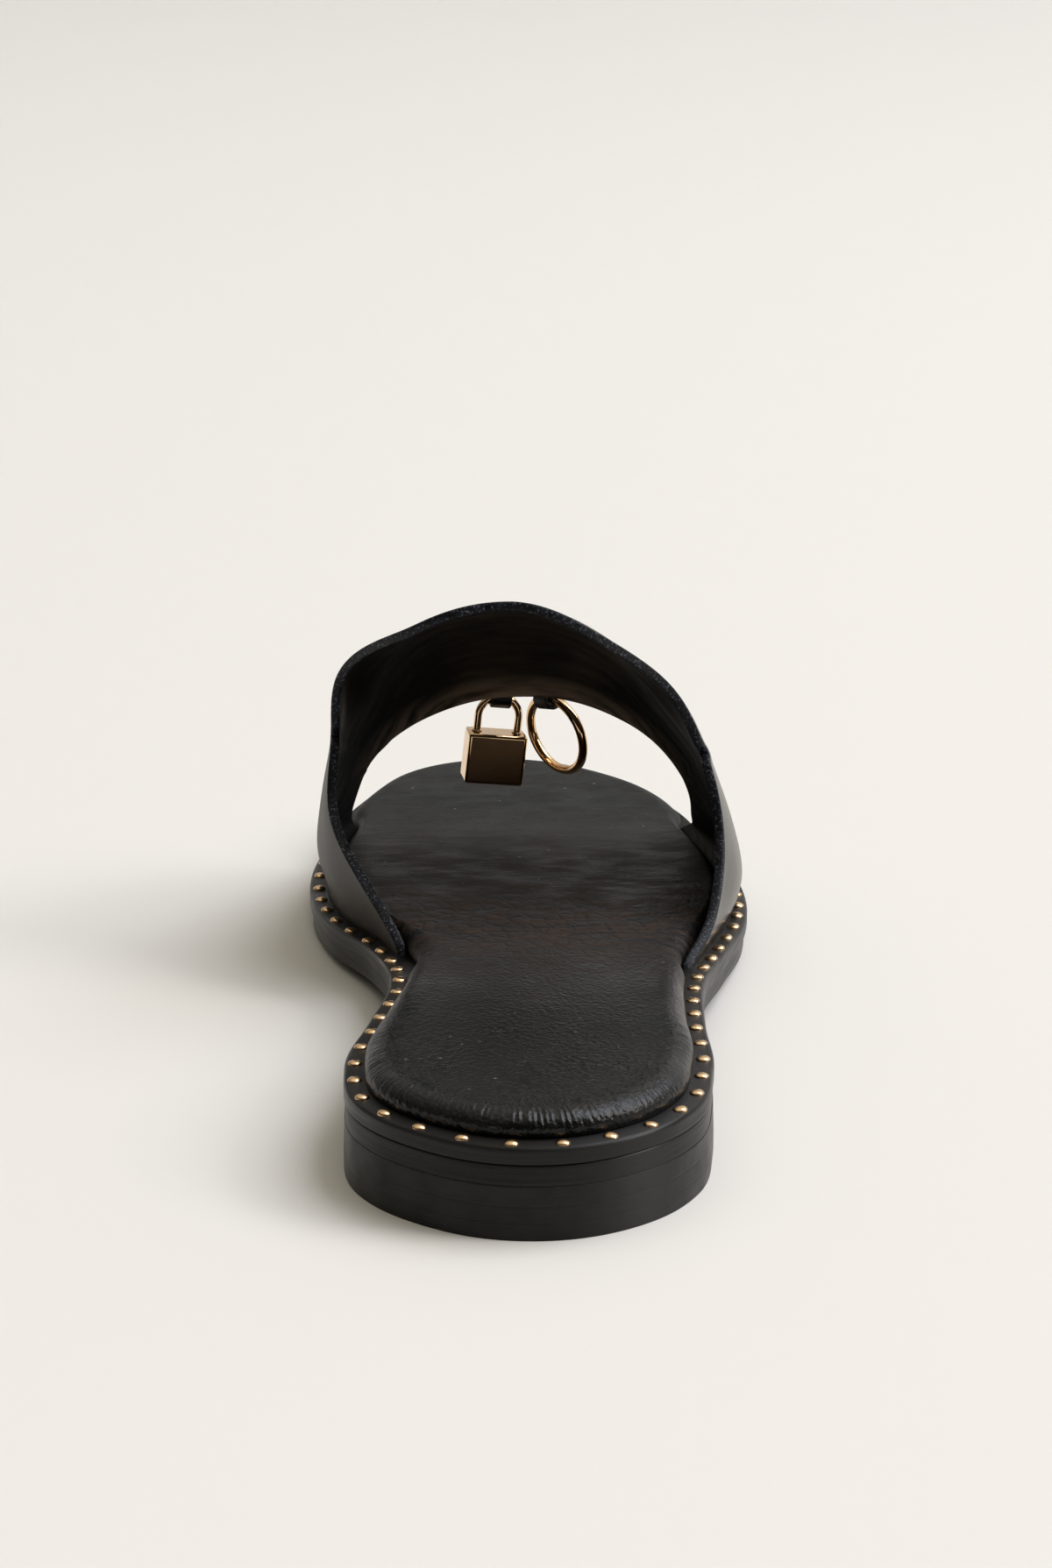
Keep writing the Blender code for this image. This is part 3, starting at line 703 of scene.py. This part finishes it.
def padDents(x, y):  # creases where the foot bends the pad, and the soft hollow that it leaves
    dent = np.zeros(len(x))
    for i in range(len(padCreases["x"])):
        c = {name: values[i] for name, values in padCreases.items()}
        along = x - c["x"]
        sway = padBends["sway"] * np.sin(along / padBends["swayLength"] + i)
        across = y - c["y"] - c["slant"] * along - sway
        taper = np.exp(-(along / c["length"]) ** 4)
        trough = np.exp(-(across / c["width"]) ** 2)
        ridge = padBends["ridge"] * np.exp(-(across / (padBends["ridgeWidth"] * c["width"])) ** 2)
        dent -= c["depth"] * taper * (trough - ridge)
    across = (x - heelHollow["x"]) / heelHollow["width"]
    along = (y - heelHollow["y"]) / heelHollow["length"]
    return dent - heelHollow["depth"] * np.exp(-(across ** 2 + along ** 2))


def makeInsole():
    rows = insoleRows()
    count = insolePad["pointsRound"]
    margin = insoleInset(padLoop[:, 1])
    reach = rimReach(padLoop[:, 1])
    spine = pairedSpine(padLoop, soleShape["spineEnds"])

    def place(column, row):
        i = column % count
        inset, share, height = rows[row].T
        inset = inset * reach[i]
        flat = padLoop[i] + padInward[i] * (margin[i] + inset)[:, None]
        flat += (spine[i] - flat) * share[:, None]
        x, y = flat.T
        toRim = inset + share * insolePad["rimDistance"]
        topSide = ease(*(insolePad["edge"] * k for k in insolePad["topFrom"]), height)
        gather = padWrinkles(padRun[i], toRim, y) * topSide
        soft = wavering(padRun[i], *insolePad["softWave"]) * np.exp(-toRim / insolePad["softReach"])
        inner = ease(*insolePad["dentsFrom"], toRim) * topSide
        lift = height + gather + soft * topSide + padDents(x, y) * inner
        return np.stack([x, y, midsoleTop(y) + insolePad["sit"] + lift], axis=1)

    piece, _, _ = wrapGrid("insole_pad", count, len(rows) - 1, place)
    closeSeams(piece)
    return piece


insole = makeInsole()
finishPiece(insole, "sandal", [insoleLeather()], ["insole"], sharpDegrees=60)


# dome studs round the midsole's edge

studRow = {
    "inset": 2.0,
    "spacing": 8.84,
    "first": (-2.6, 1.5),
    "last": 201.0,
    "radius": 1.34,
    "height": 0.66,
    "skirt": 0.3,
    "lean": 0.07,
    "uneven": 0.03,
    "segments": 20,
    "rings": 12,
}


def oneStud():  # a dome, cut off flat below and drawn down a little into the leather
    deselectAll()
    bpy.ops.mesh.primitive_uv_sphere_add(
        segments=studRow["segments"], ring_count=studRow["rings"], radius=studRow["radius"] / 1000,
    )
    stud = bpy.context.object
    stud.scale.z = studRow["height"] / studRow["radius"]
    bpy.ops.object.transform_apply(location=False, rotation=False, scale=True)
    setMode("EDIT")
    bpy.ops.mesh.select_all(action="SELECT")
    bpy.ops.mesh.bisect(plane_co=(0, 0, 0), plane_no=(0, 0, 1), clear_inner=True)
    bpy.ops.mesh.extrude_region_move(TRANSFORM_OT_translate={"value": (0, 0, -studRow["skirt"] / 1000)})
    bpy.ops.mesh.edge_face_add()
    bpy.ops.mesh.select_all(action="SELECT")
    bpy.ops.mesh.normals_make_consistent(inside=False)
    setMode("OBJECT")
    return stud


def makeStuds():
    ring = outline + inwardOf(outline) * studRow["inset"]
    start = int(np.linalg.norm(ring - np.array(studRow["first"]), axis=1).argmin())
    ring = np.roll(ring, -start, axis=0)
    count = round(closedLength(ring) / studRow["spacing"])
    places = evenSteps(np.concatenate([ring, ring[:1]]), count)
    places = places[places[:, 1] < studRow["last"]]
    stud = oneStud()
    studs = []
    for x, y in places:
        copy = stud.copy()
        copy.data = stud.data.copy()
        bpy.context.scene.collection.objects.link(copy)
        slope = math.atan(float(midsoleTop(y + 1) - midsoleTop(y - 1)) / 2)
        lean = dice.normal(0, studRow["lean"], 2)
        copy.location = inMetres((x, y, float(midsoleTop(y)) + dice.normal(0, studRow["uneven"])))
        copy.rotation_euler = (slope + lean[0], lean[1], dice.uniform(0, 2 * math.pi))
        studs.append(copy)
    bpy.data.objects.remove(stud)
    selectOnly(*studs)
    bpy.ops.object.transform_apply(location=True, rotation=True, scale=True)
    bpy.ops.object.join()
    joined = bpy.context.object
    joined.name = joined.data.name = "dome_studs"
    return joined


studBrass = plateBrass("plated_stud_brass", 0.18, 0.3, 0.01)
finishPiece(makeStuds(), "sandal", [studBrass], sharpDegrees=50)


# strap over the foot

strap = {
    "wall": 1.9,
    "flapWall": 2.0,
    "margin": 4.0,
    "seat": 0.4,
    "sink": 0.9,
    "medialFullness": 2.35,
    "lateralFullness": 1.74,
    "medialSwell": 1.7,
    "lateralSwell": 1.9,
    "swellAngle": 0.15,
    "flareDepth": 18.0,
    "notchTurns": (0.182, 0.803),
    "notchDepth": 4.0,
    "notchWidth": 0.008,
    "columns": 330,
    "middleRows": 46,
    "rowsFromBack": (1.0, 1.35, 1.65, 1.85, 2.0, 2.12, 2.26, 2.45, 2.8, 3.4, 4.3, 5.6),
    "rowsFromFront": (7.0, 5.4, 4.2, 3.2, 2.4, 1.7, 1.0),
    "grooveAt": 2.1,
    "grooveDepth": 0.12,
    "grooveWidth": 0.16,
    "flapTurns": (0.1, 0.24),
    "flapReach": 14.0,
    "ripple": ((41.0, 67.0, 23.0), (0.08, 0.1, 0.05)),
    "rippleFrom": 0.2,
    "rimProfile": ((-0.5, 0.0), (-0.26, 0.03), (-0.09, 0.14), (0.0, 0.4)),
    "rimBulge": 0.03,
    "rimShares": (0.36, 0.5, 0.64),
    "turnProbe": 0.002,
    "alongProbe": 0.01,
    "turnEnds": (0.0005, 0.9995),
}
lastTable = byColumn(("station", "ridgeX", "ridgeZ", "medialBulge", "lateralBulge"), (
    (100.0, -6.3, 92.7, 12.5, 3.2),
    (125.0, -5.0, 83.5, 10.3, 3.9),
    (150.0, -3.6, 73.0, 6.5, 4.7),
    (175.0, -1.6, 57.4, 2.5, 4.9),
    (200.0, 0.4, 37.9, -0.9, 4.8),
    (215.0, 1.6, 26.2, -1.8, 4.7),
))
backTable = byColumn(("turn", "station", "flare"), (
    (0.00, 114.3, 0.0),
    (0.08, 138.2, 0.3),
    (0.175, 147.1, 0.2),
    (0.25, 146.3, 3.8),
    (0.37, 130.5, -1.3),
    (0.50, 128.2, -1.5),
    (0.63, 127.8, -0.6),
    (0.73, 140.7, 1.9),
    (0.80, 141.2, 1.0),
    (0.90, 135.2, -0.3),
    (1.00, 104.7, 0.0),
))
frontTable = byColumn(("turn", "station"), (
    (0.00, 206.0),
    (0.04, 204.9),
    (0.09, 198.5),
    (0.15, 194.0),
    (0.30, 191.8),
    (0.50, 189.6),
    (0.70, 191.1),
    (0.85, 198.4),
    (0.91, 205.0),
    (0.96, 207.0),
    (1.00, 207.5),
))
# soft folds in the strap: from turn and share of the way to the front edge, to the same, width, depth
strapCreases = byColumn(("turnA", "alongA", "turnB", "alongB", "width", "depth"), (
    (0.56, 0.88, 0.80, 0.90, 1.3, 0.20),
    (0.60, 0.79, 0.84, 0.82, 1.6, 0.22),
    (0.68, 0.68, 0.86, 0.70, 1.8, 0.16),
    (0.14, 0.90, 0.34, 0.84, 1.5, 0.24),
    (0.17, 0.78, 0.30, 0.72, 1.9, 0.16),
    (0.30, 0.55, 0.36, 0.80, 2.0, 0.14),
    (0.40, 0.86, 0.55, 0.90, 1.4, 0.10),
))
foldShape = {"bow": 0.9, "bowWaves": 7, "ridge": 0.55, "ridgeWidth": 2.4, "ends": (0.03, 0.97)}


def lastPoint(turn, station):  # turn runs from the sole's inner edge (0) over the ridge to the outer (1)
    ridgeX, ridgeZ, medialBulge, lateralBulge = (
        through(lastTable["station"], lastTable[name], station)
        for name in ("ridgeX", "ridgeZ", "medialBulge", "lateralBulge")
    )
    medial, lateral = soleEdges(station, strap["margin"])
    inner = turn < 0.5
    power = 2 / np.where(inner, strap["medialFullness"], strap["lateralFullness"])
    angle = math.pi * np.minimum(turn, 1 - turn)
    across = np.maximum(np.cos(angle), 0.0) ** power
    up = np.maximum(np.sin(angle), 0.0) ** power
    seat = midsoleTop(station) + strap["seat"]
    reach = np.where(inner, medial, lateral) - ridgeX
    bulge = np.where(inner, -medialBulge, lateralBulge) * np.sin(2 * angle)
    low = angle / strap["swellAngle"]
    low = (low * np.exp(1 - low)) ** 2
    bulge = bulge + np.where(inner, -strap["medialSwell"], strap["lateralSwell"]) * low
    return np.stack([ridgeX + reach * across + bulge, station, seat + (ridgeZ - seat) * up], axis=-1)


def strapEnds(turn):
    back = through(backTable["turn"], backTable["station"], turn)
    for notch in strap["notchTurns"]:
        back = back + strap["notchDepth"] * np.exp(-(((turn - notch) / strap["notchWidth"]) ** 2))
    return back, through(frontTable["turn"], frontTable["station"], turn)


def strapFace(turn, along):  # the strap's outer face, from its back edge (0) to its front edge (1)
    turn, along = np.broadcast_arrays(np.asarray(turn, float), np.asarray(along, float))
    back, front = strapEnds(turn)
    station = back + (front - back) * along
    flare = through(backTable["turn"], backTable["flare"], turn)
    flare = flare * (1 - ease(0, strap["flareDepth"], station - back))
    outward = np.stack([-np.cos(math.pi * turn), np.zeros(turn.shape), np.sin(math.pi * turn)], axis=-1)
    return lastPoint(turn, station) + outward * flare[..., None]


def unit(vectors):
    return vectors / np.linalg.norm(vectors, axis=-1, keepdims=True)


def strapFrame(turn, along):  # point, outward normal and forward direction on the outer face
    turn, along = np.broadcast_arrays(np.asarray(turn, float), np.asarray(along, float))
    before, after = (np.clip(turn + way * strap["turnProbe"], *strap["turnEnds"]) for way in (-1, 1))
    over = strapFace(after, along) - strapFace(before, along)
    forward = strapFace(turn, along + strap["alongProbe"]) - strapFace(turn, along - strap["alongProbe"])
    return strapFace(turn, along), unit(np.cross(over, forward)), unit(forward)


def strapFolds(turn, along, around, length):  # height of the soft folds, in a flat map of the strap
    x, y = np.broadcast_arrays(around[None, :], along * length[None, :])
    height = np.zeros(x.shape)
    for i in range(len(strapCreases["turnA"])):
        c = {name: values[i] for name, values in strapCreases.items()}
        ends = [np.array([np.interp(c["turn" + k], turn, around),
                          c["along" + k] * np.interp(c["turn" + k], turn, length)]) for k in "AB"]
        run = ends[1] - ends[0]
        share = ((x - ends[0][0]) * run[0] + (y - ends[0][1]) * run[1]) / (run @ run)
        held = np.clip(share, 0, 1)
        bow = foldShape["bow"] * np.sin(math.pi * held) * np.sin(foldShape["bowWaves"] * held + i)
        far = np.hypot(x - ends[0][0] - run[0] * held, y - ends[0][1] - run[1] * held + bow)
        ridge = foldShape["ridge"] * np.exp(-(far / (foldShape["ridgeWidth"] * c["width"])) ** 2)
        fold = np.exp(-(far / c["width"]) ** 2) - ridge
        height -= c["depth"] * fold * np.sin(math.pi * np.clip(held, *foldShape["ends"])) ** 0.5
    return height


def makeStrap():
    turn = np.linspace(0, 1, strap["columns"] + 1)
    back, _, _ = strapFrame(turn, 0.0)
    front, _, _ = strapFrame(turn, 1.0)
    spread = strapFace(turn, 0.5)
    around = np.concatenate([[0], np.cumsum(np.linalg.norm(np.diff(spread, axis=0), axis=1))])
    length = np.linalg.norm(front - back, axis=1)
    nearBack = np.array(strap["rowsFromBack"])[:, None] / length
    nearFront = 1 - np.array(strap["rowsFromFront"])[:, None] / length
    middle = np.linspace(0, 1, strap["middleRows"] + 2)[1:-1, None]
    between = nearBack[-1] + (nearFront[0] - nearBack[-1]) * middle
    along = np.concatenate([nearBack, between, nearFront])

    point, normal, _ = strapFrame(turn[None, :], along)
    folds = strapFolds(turn, along, around, length)
    ripple = wavering(around, *strap["ripple"])[None, :] * (along - strap["rippleFrom"])
    outer = point + normal * (folds + ripple)[..., None]
    fromBack = along * length
    fromFront = (1 - along) * length
    flap = 1 - ease(*strap["flapTurns"], np.minimum(turn, 1 - turn))
    flap = flap[None, :] * np.exp(-fromBack / strap["flapReach"])
    wall = strap["wall"] + (strap["flapWall"] - strap["wall"]) * flap
    groove = strap["grooveDepth"] * np.exp(-(((fromBack - strap["grooveAt"]) / strap["grooveWidth"]) ** 2))
    inner = outer - normal * (wall - groove)[..., None]

    def rim(share, wallHere, faceEnd):  # the cut edge's rounded profile, from the outer face to the lining
        edge, out, _ = strapFrame(turn, share)
        run = unit(np.gradient(edge, axis=0))
        ahead = strapFace(turn, share + strap["alongProbe"]) - strapFace(turn, share - strap["alongProbe"])
        ahead = unit(ahead - run * (ahead * run).sum(axis=1, keepdims=True))
        beyond = ahead if share > 0.5 else -ahead
        settle = (outer[faceEnd] - edge) * out
        edge = edge + out * settle.sum(axis=1, keepdims=True)
        profile, bulge = strap["rimProfile"], beyond * strap["rimBulge"]
        depth = wallHere[:, None]
        rows = [edge + beyond * e - out * d for e, d in profile]
        rows += [edge + bulge - out * depth * s for s in strap["rimShares"]]
        rows += [edge + beyond * e - out * (depth - d) for e, d in profile[::-1]]
        return np.array(rows)

    frontRim = rim(1.0, wall[-1], -1)
    backRim = rim(0.0, wall[0], 0)[::-1]
    rows = np.concatenate([outer, frontRim, inner[::-1], backRim, outer[:1]])
    rows[:, [0, -1], 2] -= strap["sink"]
    zero = np.zeros((len(frontRim), len(turn)))
    across = np.broadcast_to(length, zero.shape)
    backMap = np.concatenate([fromBack, across, fromBack[::-1], zero, fromBack[:1]])
    frontMap = np.concatenate([fromFront, zero, fromFront[::-1], across, fromFront[:1]])
    kindOfRim = np.array([0] + [2] * (len(frontRim) - 2) + [1])
    kinds = [np.zeros(len(outer)), kindOfRim, np.ones(len(inner)), kindOfRim[::-1], [0]]
    kinds = np.concatenate(kinds).astype(int)  # 0 outer face, 1 lining, 2 cut edge

    piece, column, row = wrapGrid("strap_leather", len(turn) - 1, len(rows) - 1, lambda c, r: rows[r, c])
    storeValue(piece, "around", around[column])
    storeValue(piece, "fromBack", backMap[row, column])
    storeValue(piece, "fromFront", frontMap[row, column])
    corners = np.empty(len(piece.data.loops), int)
    piece.data.loops.foreach_get("vertex_index", corners)
    faceKinds = kinds[row[corners]].reshape(-1, 4).max(axis=1)
    piece.data.polygons.foreach_set("material_index", faceKinds)
    closeSeams(piece)
    return piece


upper = makeStrap()
strapFinishes = [strapLeather(), strapLining(), edgePaint()]
finishPiece(upper, "sandal", strapFinishes, ["upper"], sharpDegrees=75)


# leather hangers and the two charms

hangers = {
    "hole": 1.7,
    "wall": 0.78,
    "width": 4.4,
    "tab": 9.0,
    "lift": 0.1,
    "soft": 0.22,
    "slack": 0.5,
    "tabRows": 12,
    "neckReach": 1.5,
    "neckRows": 10,
    "wrapTurn": (80.0, -215.0),
    "wrapRows": 34,
    "searchTurns": (0.3, 0.7, 400),
}
charmJoints = {joint["name"]: joint for joint in frame["joints"]}


def charmFrame(jointName):  # a charm hangs from its joint: x along the axis, y level, z up
    joint = charmJoints[jointName]
    x = Vector(joint["axis"]).normalized()
    y = Vector((0, 0, 1)).cross(x).normalized()
    turn = Matrix((x, y, x.cross(y))).transposed().to_4x4()
    return Matrix.Translation(joint["pos_m"]) @ turn


def turnAbove(x):  # the strap's turn whose front edge lies over this x
    turns = np.linspace(*hangers["searchTurns"])
    return float(np.interp(x, strapFace(turns, 1.0)[:, 0], turns))


def makeHanger(name, jointName):  # one strip: along the strap, over its edge, round the charm and back
    place = charmFrame(jointName)
    hinge = np.array(place.translation) * 1000 - shift
    axis, ahead, up = (np.array(place.col[i][:3]) for i in range(3))
    radius = hangers["hole"] + hangers["wall"] / 2
    centre = turnAbove(hinge[0])
    length = float(np.linalg.norm(strapFace(centre, 1.0) - strapFace(centre, 0.0)))
    middle, sides = [], []
    for share in np.linspace(0, 1, hangers["tabRows"]):
        point, out, forward = strapFrame(centre, 1 - hangers["tab"] / length * (1 - share))
        middle.append(point + out * (hangers["wall"] / 2 + hangers["lift"]))
        sides.append(np.cross(forward, out))
    crown = hinge + up * radius
    start, tabSide = middle[-1], sides[-1]
    reach, rows = hangers["neckReach"], hangers["neckRows"]
    ends = (start, start + forward * reach, crown - ahead * reach, crown)
    neck = interpolate_bezier(*(Vector(end) for end in ends), rows)
    for i, point in enumerate(neck[1:]):
        share = float(ease(0, rows - 1, i + 1))
        middle.append(np.array(point))
        sides.append(unit(tabSide * (1 - share) + axis * share))
    for angle in np.radians(np.linspace(*hangers["wrapTurn"], hangers["wrapRows"])):
        slack = 0.0 if angle > -math.pi else hangers["slack"] * (-angle - math.pi)
        middle.append(hinge + (ahead * math.cos(angle) + up * math.sin(angle)) * (radius - slack))
        sides.append(axis)
    middle, sides = np.array(middle), np.array(sides)
    facing = unit(np.cross(sides, np.gradient(middle, axis=0)))
    half, wall, soft = hangers["width"] / 2, hangers["wall"] / 2, hangers["soft"]
    ring = [(-half, -wall + soft), (-half + soft, -wall), (half - soft, -wall), (half, -wall + soft),
            (half, wall - soft), (half - soft, wall), (-half + soft, wall), (-half, wall - soft)]
    ring = np.array(ring[::-1])

    def strip(column, row):
        over, thick = ring[column % len(ring)].T
        return middle[row] + sides[row] * over[:, None] + facing[row] * thick[:, None]

    piece, _, _ = wrapGrid(name, len(ring), len(middle) - 1, strip)
    closeSeams(piece, reach=0.0005)
    return piece


stripLeather = loopLeather()
for name, jointName in (("padlock_loop", "padlock_swing"), ("ring_loop", "ring_swing")):
    hanger = makeHanger(name + "_strip", jointName)
    finishPiece(hanger, "sandal", [stripLeather], [name], sharpDegrees=35)

padlock = {
    "width": 12.9,
    "depth": 6.8,
    "height": 11.2,
    "drop": 7.9,
    "rounding": 0.7,
    "wire": 1.64,
    "bow": 4.45,
    "seat": 0.6,
    "collar": 0.35,
    "collarHeight": 0.3,
    "collarRim": 0.12,
    "collarSides": 32,
    "roundingSteps": 5,
    "collarSteps": 3,
    "flatFace": 30.0,
    "flatRim": 0.06,
    "legRows": 6,
    "bendRows": 40,
    "wireSides": 24,
}


def placeCharm(piece, jointName, swung=0.0):  # degrees out from plumb as it rests
    piece.data.transform(charmFrame(jointName) @ Matrix.Rotation(math.radians(swung), 4, "X"))
    piece.data.update()


def makePadlockBody():  # a block with soft edges, a raised collar at each leg of the bow
    top = -padlock["drop"]
    deselectAll()
    bpy.ops.mesh.primitive_cube_add(size=1)
    body = bpy.context.object
    body.name = body.data.name = "padlock_case"
    body.scale = [padlock[k] / 1000 for k in ("width", "depth", "height")]
    body.location = (0, 0, (top - padlock["height"] / 2) / 1000)
    bpy.ops.object.transform_apply(location=True, rotation=True, scale=True)
    softEdges = body.modifiers.new("soft_edges", "BEVEL")
    softEdges.width = padlock["rounding"] / 1000
    softEdges.segments = padlock["roundingSteps"]
    bpy.ops.object.modifier_apply(modifier="soft_edges")
    flatFace = padlock["flatFace"] / 1e6
    for face in body.data.polygons:
        face.select = face.area > flatFace
    setMode("EDIT")
    bpy.ops.mesh.inset(thickness=padlock["flatRim"] / 1000, depth=0, use_individual=True)
    setMode("OBJECT")
    collars = []
    for side in (-1, 1):
        bpy.ops.mesh.primitive_cylinder_add(
            vertices=padlock["collarSides"], radius=(padlock["wire"] / 2 + padlock["collar"]) / 1000,
            depth=2 * padlock["collarHeight"] / 1000,
            location=(side * padlock["bow"] / 1000, 0, top / 1000),
        )
        collar = bpy.context.object
        bevel = collar.modifiers.new("soft_rim", "BEVEL")
        bevel.width = padlock["collarRim"] / 1000
        bevel.segments = padlock["collarSteps"]
        bpy.ops.object.modifier_apply(modifier="soft_rim")
        collars.append(collar)
    selectOnly(body, *collars)
    bpy.ops.object.join()
    return body


def makeBow():  # the locked bow: two legs and a half circle, its ends seated in the case
    bow, foot = padlock["bow"], -padlock["drop"] - padlock["seat"]
    leg = np.linspace(foot, -bow, padlock["legRows"])
    bend = np.linspace(math.pi, 0, padlock["bendRows"])[1:-1]
    path = [(-bow, 0.0, z) for z in leg]
    path += [(bow * math.cos(a), 0.0, bow * (math.sin(a) - 1)) for a in bend]
    path = np.array(path + [(bow, 0.0, z) for z in leg[::-1]])
    run = unit(np.gradient(path, axis=0))
    level = np.array([0.0, 1.0, 0.0])
    around = np.linspace(0, 2 * math.pi, padlock["wireSides"] + 1)

    def tube(column, row):
        side = np.cross(run[row], level)
        ring = side * np.cos(around[column])[:, None] + level * np.sin(around[column])[:, None]
        return path[row] + ring * padlock["wire"] / 2 - shift

    piece, _, _ = wrapGrid("padlock_bow", padlock["wireSides"], len(path) - 1, tube)
    closeSeams(piece, reach=0.0005)
    return piece


for piece, nodes in ((makePadlockBody(), ["padlock_body"]), (makeBow(), ["padlock_shackle"])):
    placeCharm(piece, "padlock_swing")
    finishPiece(piece, "padlock", [brass], nodes)

charmRing = {
    "radius": 8.4,
    "wire": 2.0,
    "segments": 144,
    "wireSides": 28,
    "jointGap": 0.12,
    "jointDepth": 0.06,
    "swung": 11.0,
}


def makeCharmRing():  # round wire bent to a ring, its butt joint a fine groove inside the hanger
    radius = charmRing["radius"] / 1000
    deselectAll()
    bpy.ops.mesh.primitive_torus_add(
        major_radius=radius, minor_radius=charmRing["wire"] / 2000,
        major_segments=charmRing["segments"], minor_segments=charmRing["wireSides"],
    )
    ring = bpy.context.object
    ring.name = ring.data.name = "charm_ring_wire"
    ring.data.transform(Matrix.Translation((0, 0, -radius)) @ Matrix.Rotation(math.pi / 2, 4, "X"))
    setMode("EDIT")
    bpy.ops.mesh.select_mode(type="FACE")
    bpy.ops.mesh.select_all(action="DESELECT")
    setMode("OBJECT")
    stepAngle = 2 * math.pi / charmRing["segments"]
    for face in ring.data.polygons:
        angle = math.atan2(face.center.x, face.center.z + radius)
        face.select = 0 < angle < stepAngle
    setMode("EDIT")
    bpy.ops.mesh.inset(thickness=charmRing["jointGap"] / 1000, depth=-charmRing["jointDepth"] / 1000)
    bpy.ops.mesh.select_mode(type="VERT")
    setMode("OBJECT")
    return ring


ringPiece = makeCharmRing()
placeCharm(ringPiece, "ring_swing", charmRing["swung"])
finishPiece(ringPiece, "ring", [brass], ["charm_ring"], sharpDegrees=50)


# floor, light and camera

studio = {
    "floorHalf": 6000.0,
    "floorRows": (-5000.0, -600.0, 600.0, 2600.0),
    "columns": 4,
    "sweepRows": 25,
    "sweepRadius": 1400.0,
    "wallTop": 4200.0,
    "paper": "#e9e6e0",
    "paperRoughness": 0.9,
    "dome": "#fff8e7",
    "domeStrength": (0.1, 1.36),
    "roomSpan": (-0.9, 0.0),
    "roomShare": (0.08, 1.0),
    "shadeSpan": (-0.8, 0.4),
    "shadeShare": (0.5, 1.0),
}
# a large soft lamp high on the right, and a pale card below it that glosses the leather's ends:
# place, aim and side in metres, watts, colour
lamps = {
    "window_lamp": ((4.05, 0.75, 6.0), (0.0, 0.0, 0.02), 5.4, 388.0, "#eaf0ff"),
    "side_card": ((2.9, -0.4, 1.75), (0.0, 0.0, 0.03), 1.1, 36.0, "#fffaf2"),
}


def makeFloor():  # paper sweep: level, then up in a wide curve far behind
    rows = [(y, 0.0) for y in studio["floorRows"]]
    start, radius, columns = studio["floorRows"][-1], studio["sweepRadius"], studio["columns"]
    for turn in np.linspace(0, math.pi / 2, studio["sweepRows"])[1:]:
        rows.append((start + radius * math.sin(turn), radius * (1 - math.cos(turn))))
    rows = np.array(rows + [(start + radius, studio["wallTop"])])

    def sweep(column, row):
        x = (column / columns - 0.5) * 2 * studio["floorHalf"]
        return np.stack([x, rows[row, 0], rows[row, 1]], axis=1)

    floor, _, _ = wrapGrid("paper_sweep", columns, len(rows) - 1, sweep)
    bpy.ops.object.shade_smooth()
    # matt paper roll: no gloss, so that only the shadows show on it
    _, complete = newFinish("paper_sweep_matt", Specular_IOR_Level=0.1)
    floor.data.materials.append(complete(studio["paper"], studio["paperRoughness"]))


def makeLights():
    for name, (place, aim, side, watts, colour) in lamps.items():
        bpy.ops.object.light_add(type="AREA", location=place)
        lamp = bpy.context.object
        lamp.name = name
        lamp.data.size = side
        lamp.data.energy = watts
        lamp.data.color = hexColour(colour)[:3]
        lamp.rotation_euler = (Vector(aim) - Vector(place)).to_track_quat("-Z", "Y").to_euler()

    # a warm dome, bright overhead, dim at the horizon, to the left and in the room behind the camera
    world = bpy.data.worlds.new("studio_dome")
    bpy.context.scene.world = world
    world.use_nodes = True
    add = partial(addNode, world.node_tree)
    direction = add("TexCoord", {}, "Generated")
    right, ahead, height = (add("SeparateXYZ", {"Vector": direction}, axis) for axis in "XYZ")
    squared = add("Math", {0: height, 1: height}, **times)
    dome = add("MapRange", {"Value": squared, "To": studio["domeStrength"]})
    room = add("MapRange", {"Value": ahead, "From": studio["roomSpan"], "To": studio["roomShare"]})
    shade = add("MapRange", {"Value": right, "From": studio["shadeSpan"], "To": studio["shadeShare"]})
    around = add("Math", {0: room, 1: shade}, **times)
    strength = add("Math", {0: dome, 1: around}, **times)
    feed(world.node_tree.nodes["Background"], {"Color": studio["dome"], "Strength": strength})


view = {
    "place": (2.556, -587.945, 256.55),
    "pitchDown": 0.289595,
    "swing": 0.00494,
    "roll": 0.00274,
    "focalPixels": 4261.31,
    "imageHeight": 1789,
    "sensor": 36.0,
    "far": 50.0,
}


def makeCamera():
    bpy.ops.object.camera_add()
    camera = bpy.context.object
    camera.data.sensor_width = view["sensor"]
    camera.data.lens = view["focalPixels"] * view["sensor"] / view["imageHeight"]
    camera.data.clip_end = view["far"]
    aim = Matrix.Rotation(view["swing"], 4, "Z") @ Matrix.Rotation(math.pi / 2 - view["pitchDown"], 4, "X")
    aim = aim @ Matrix.Rotation(view["roll"], 4, "Z")
    camera.matrix_world = Matrix.Translation(inMetres(view["place"])) @ aim
    bpy.context.scene.camera = camera


makeFloor()
makeLights()
makeCamera()
bpy.context.scene.view_settings.view_transform = "Standard"
print("studio ready")
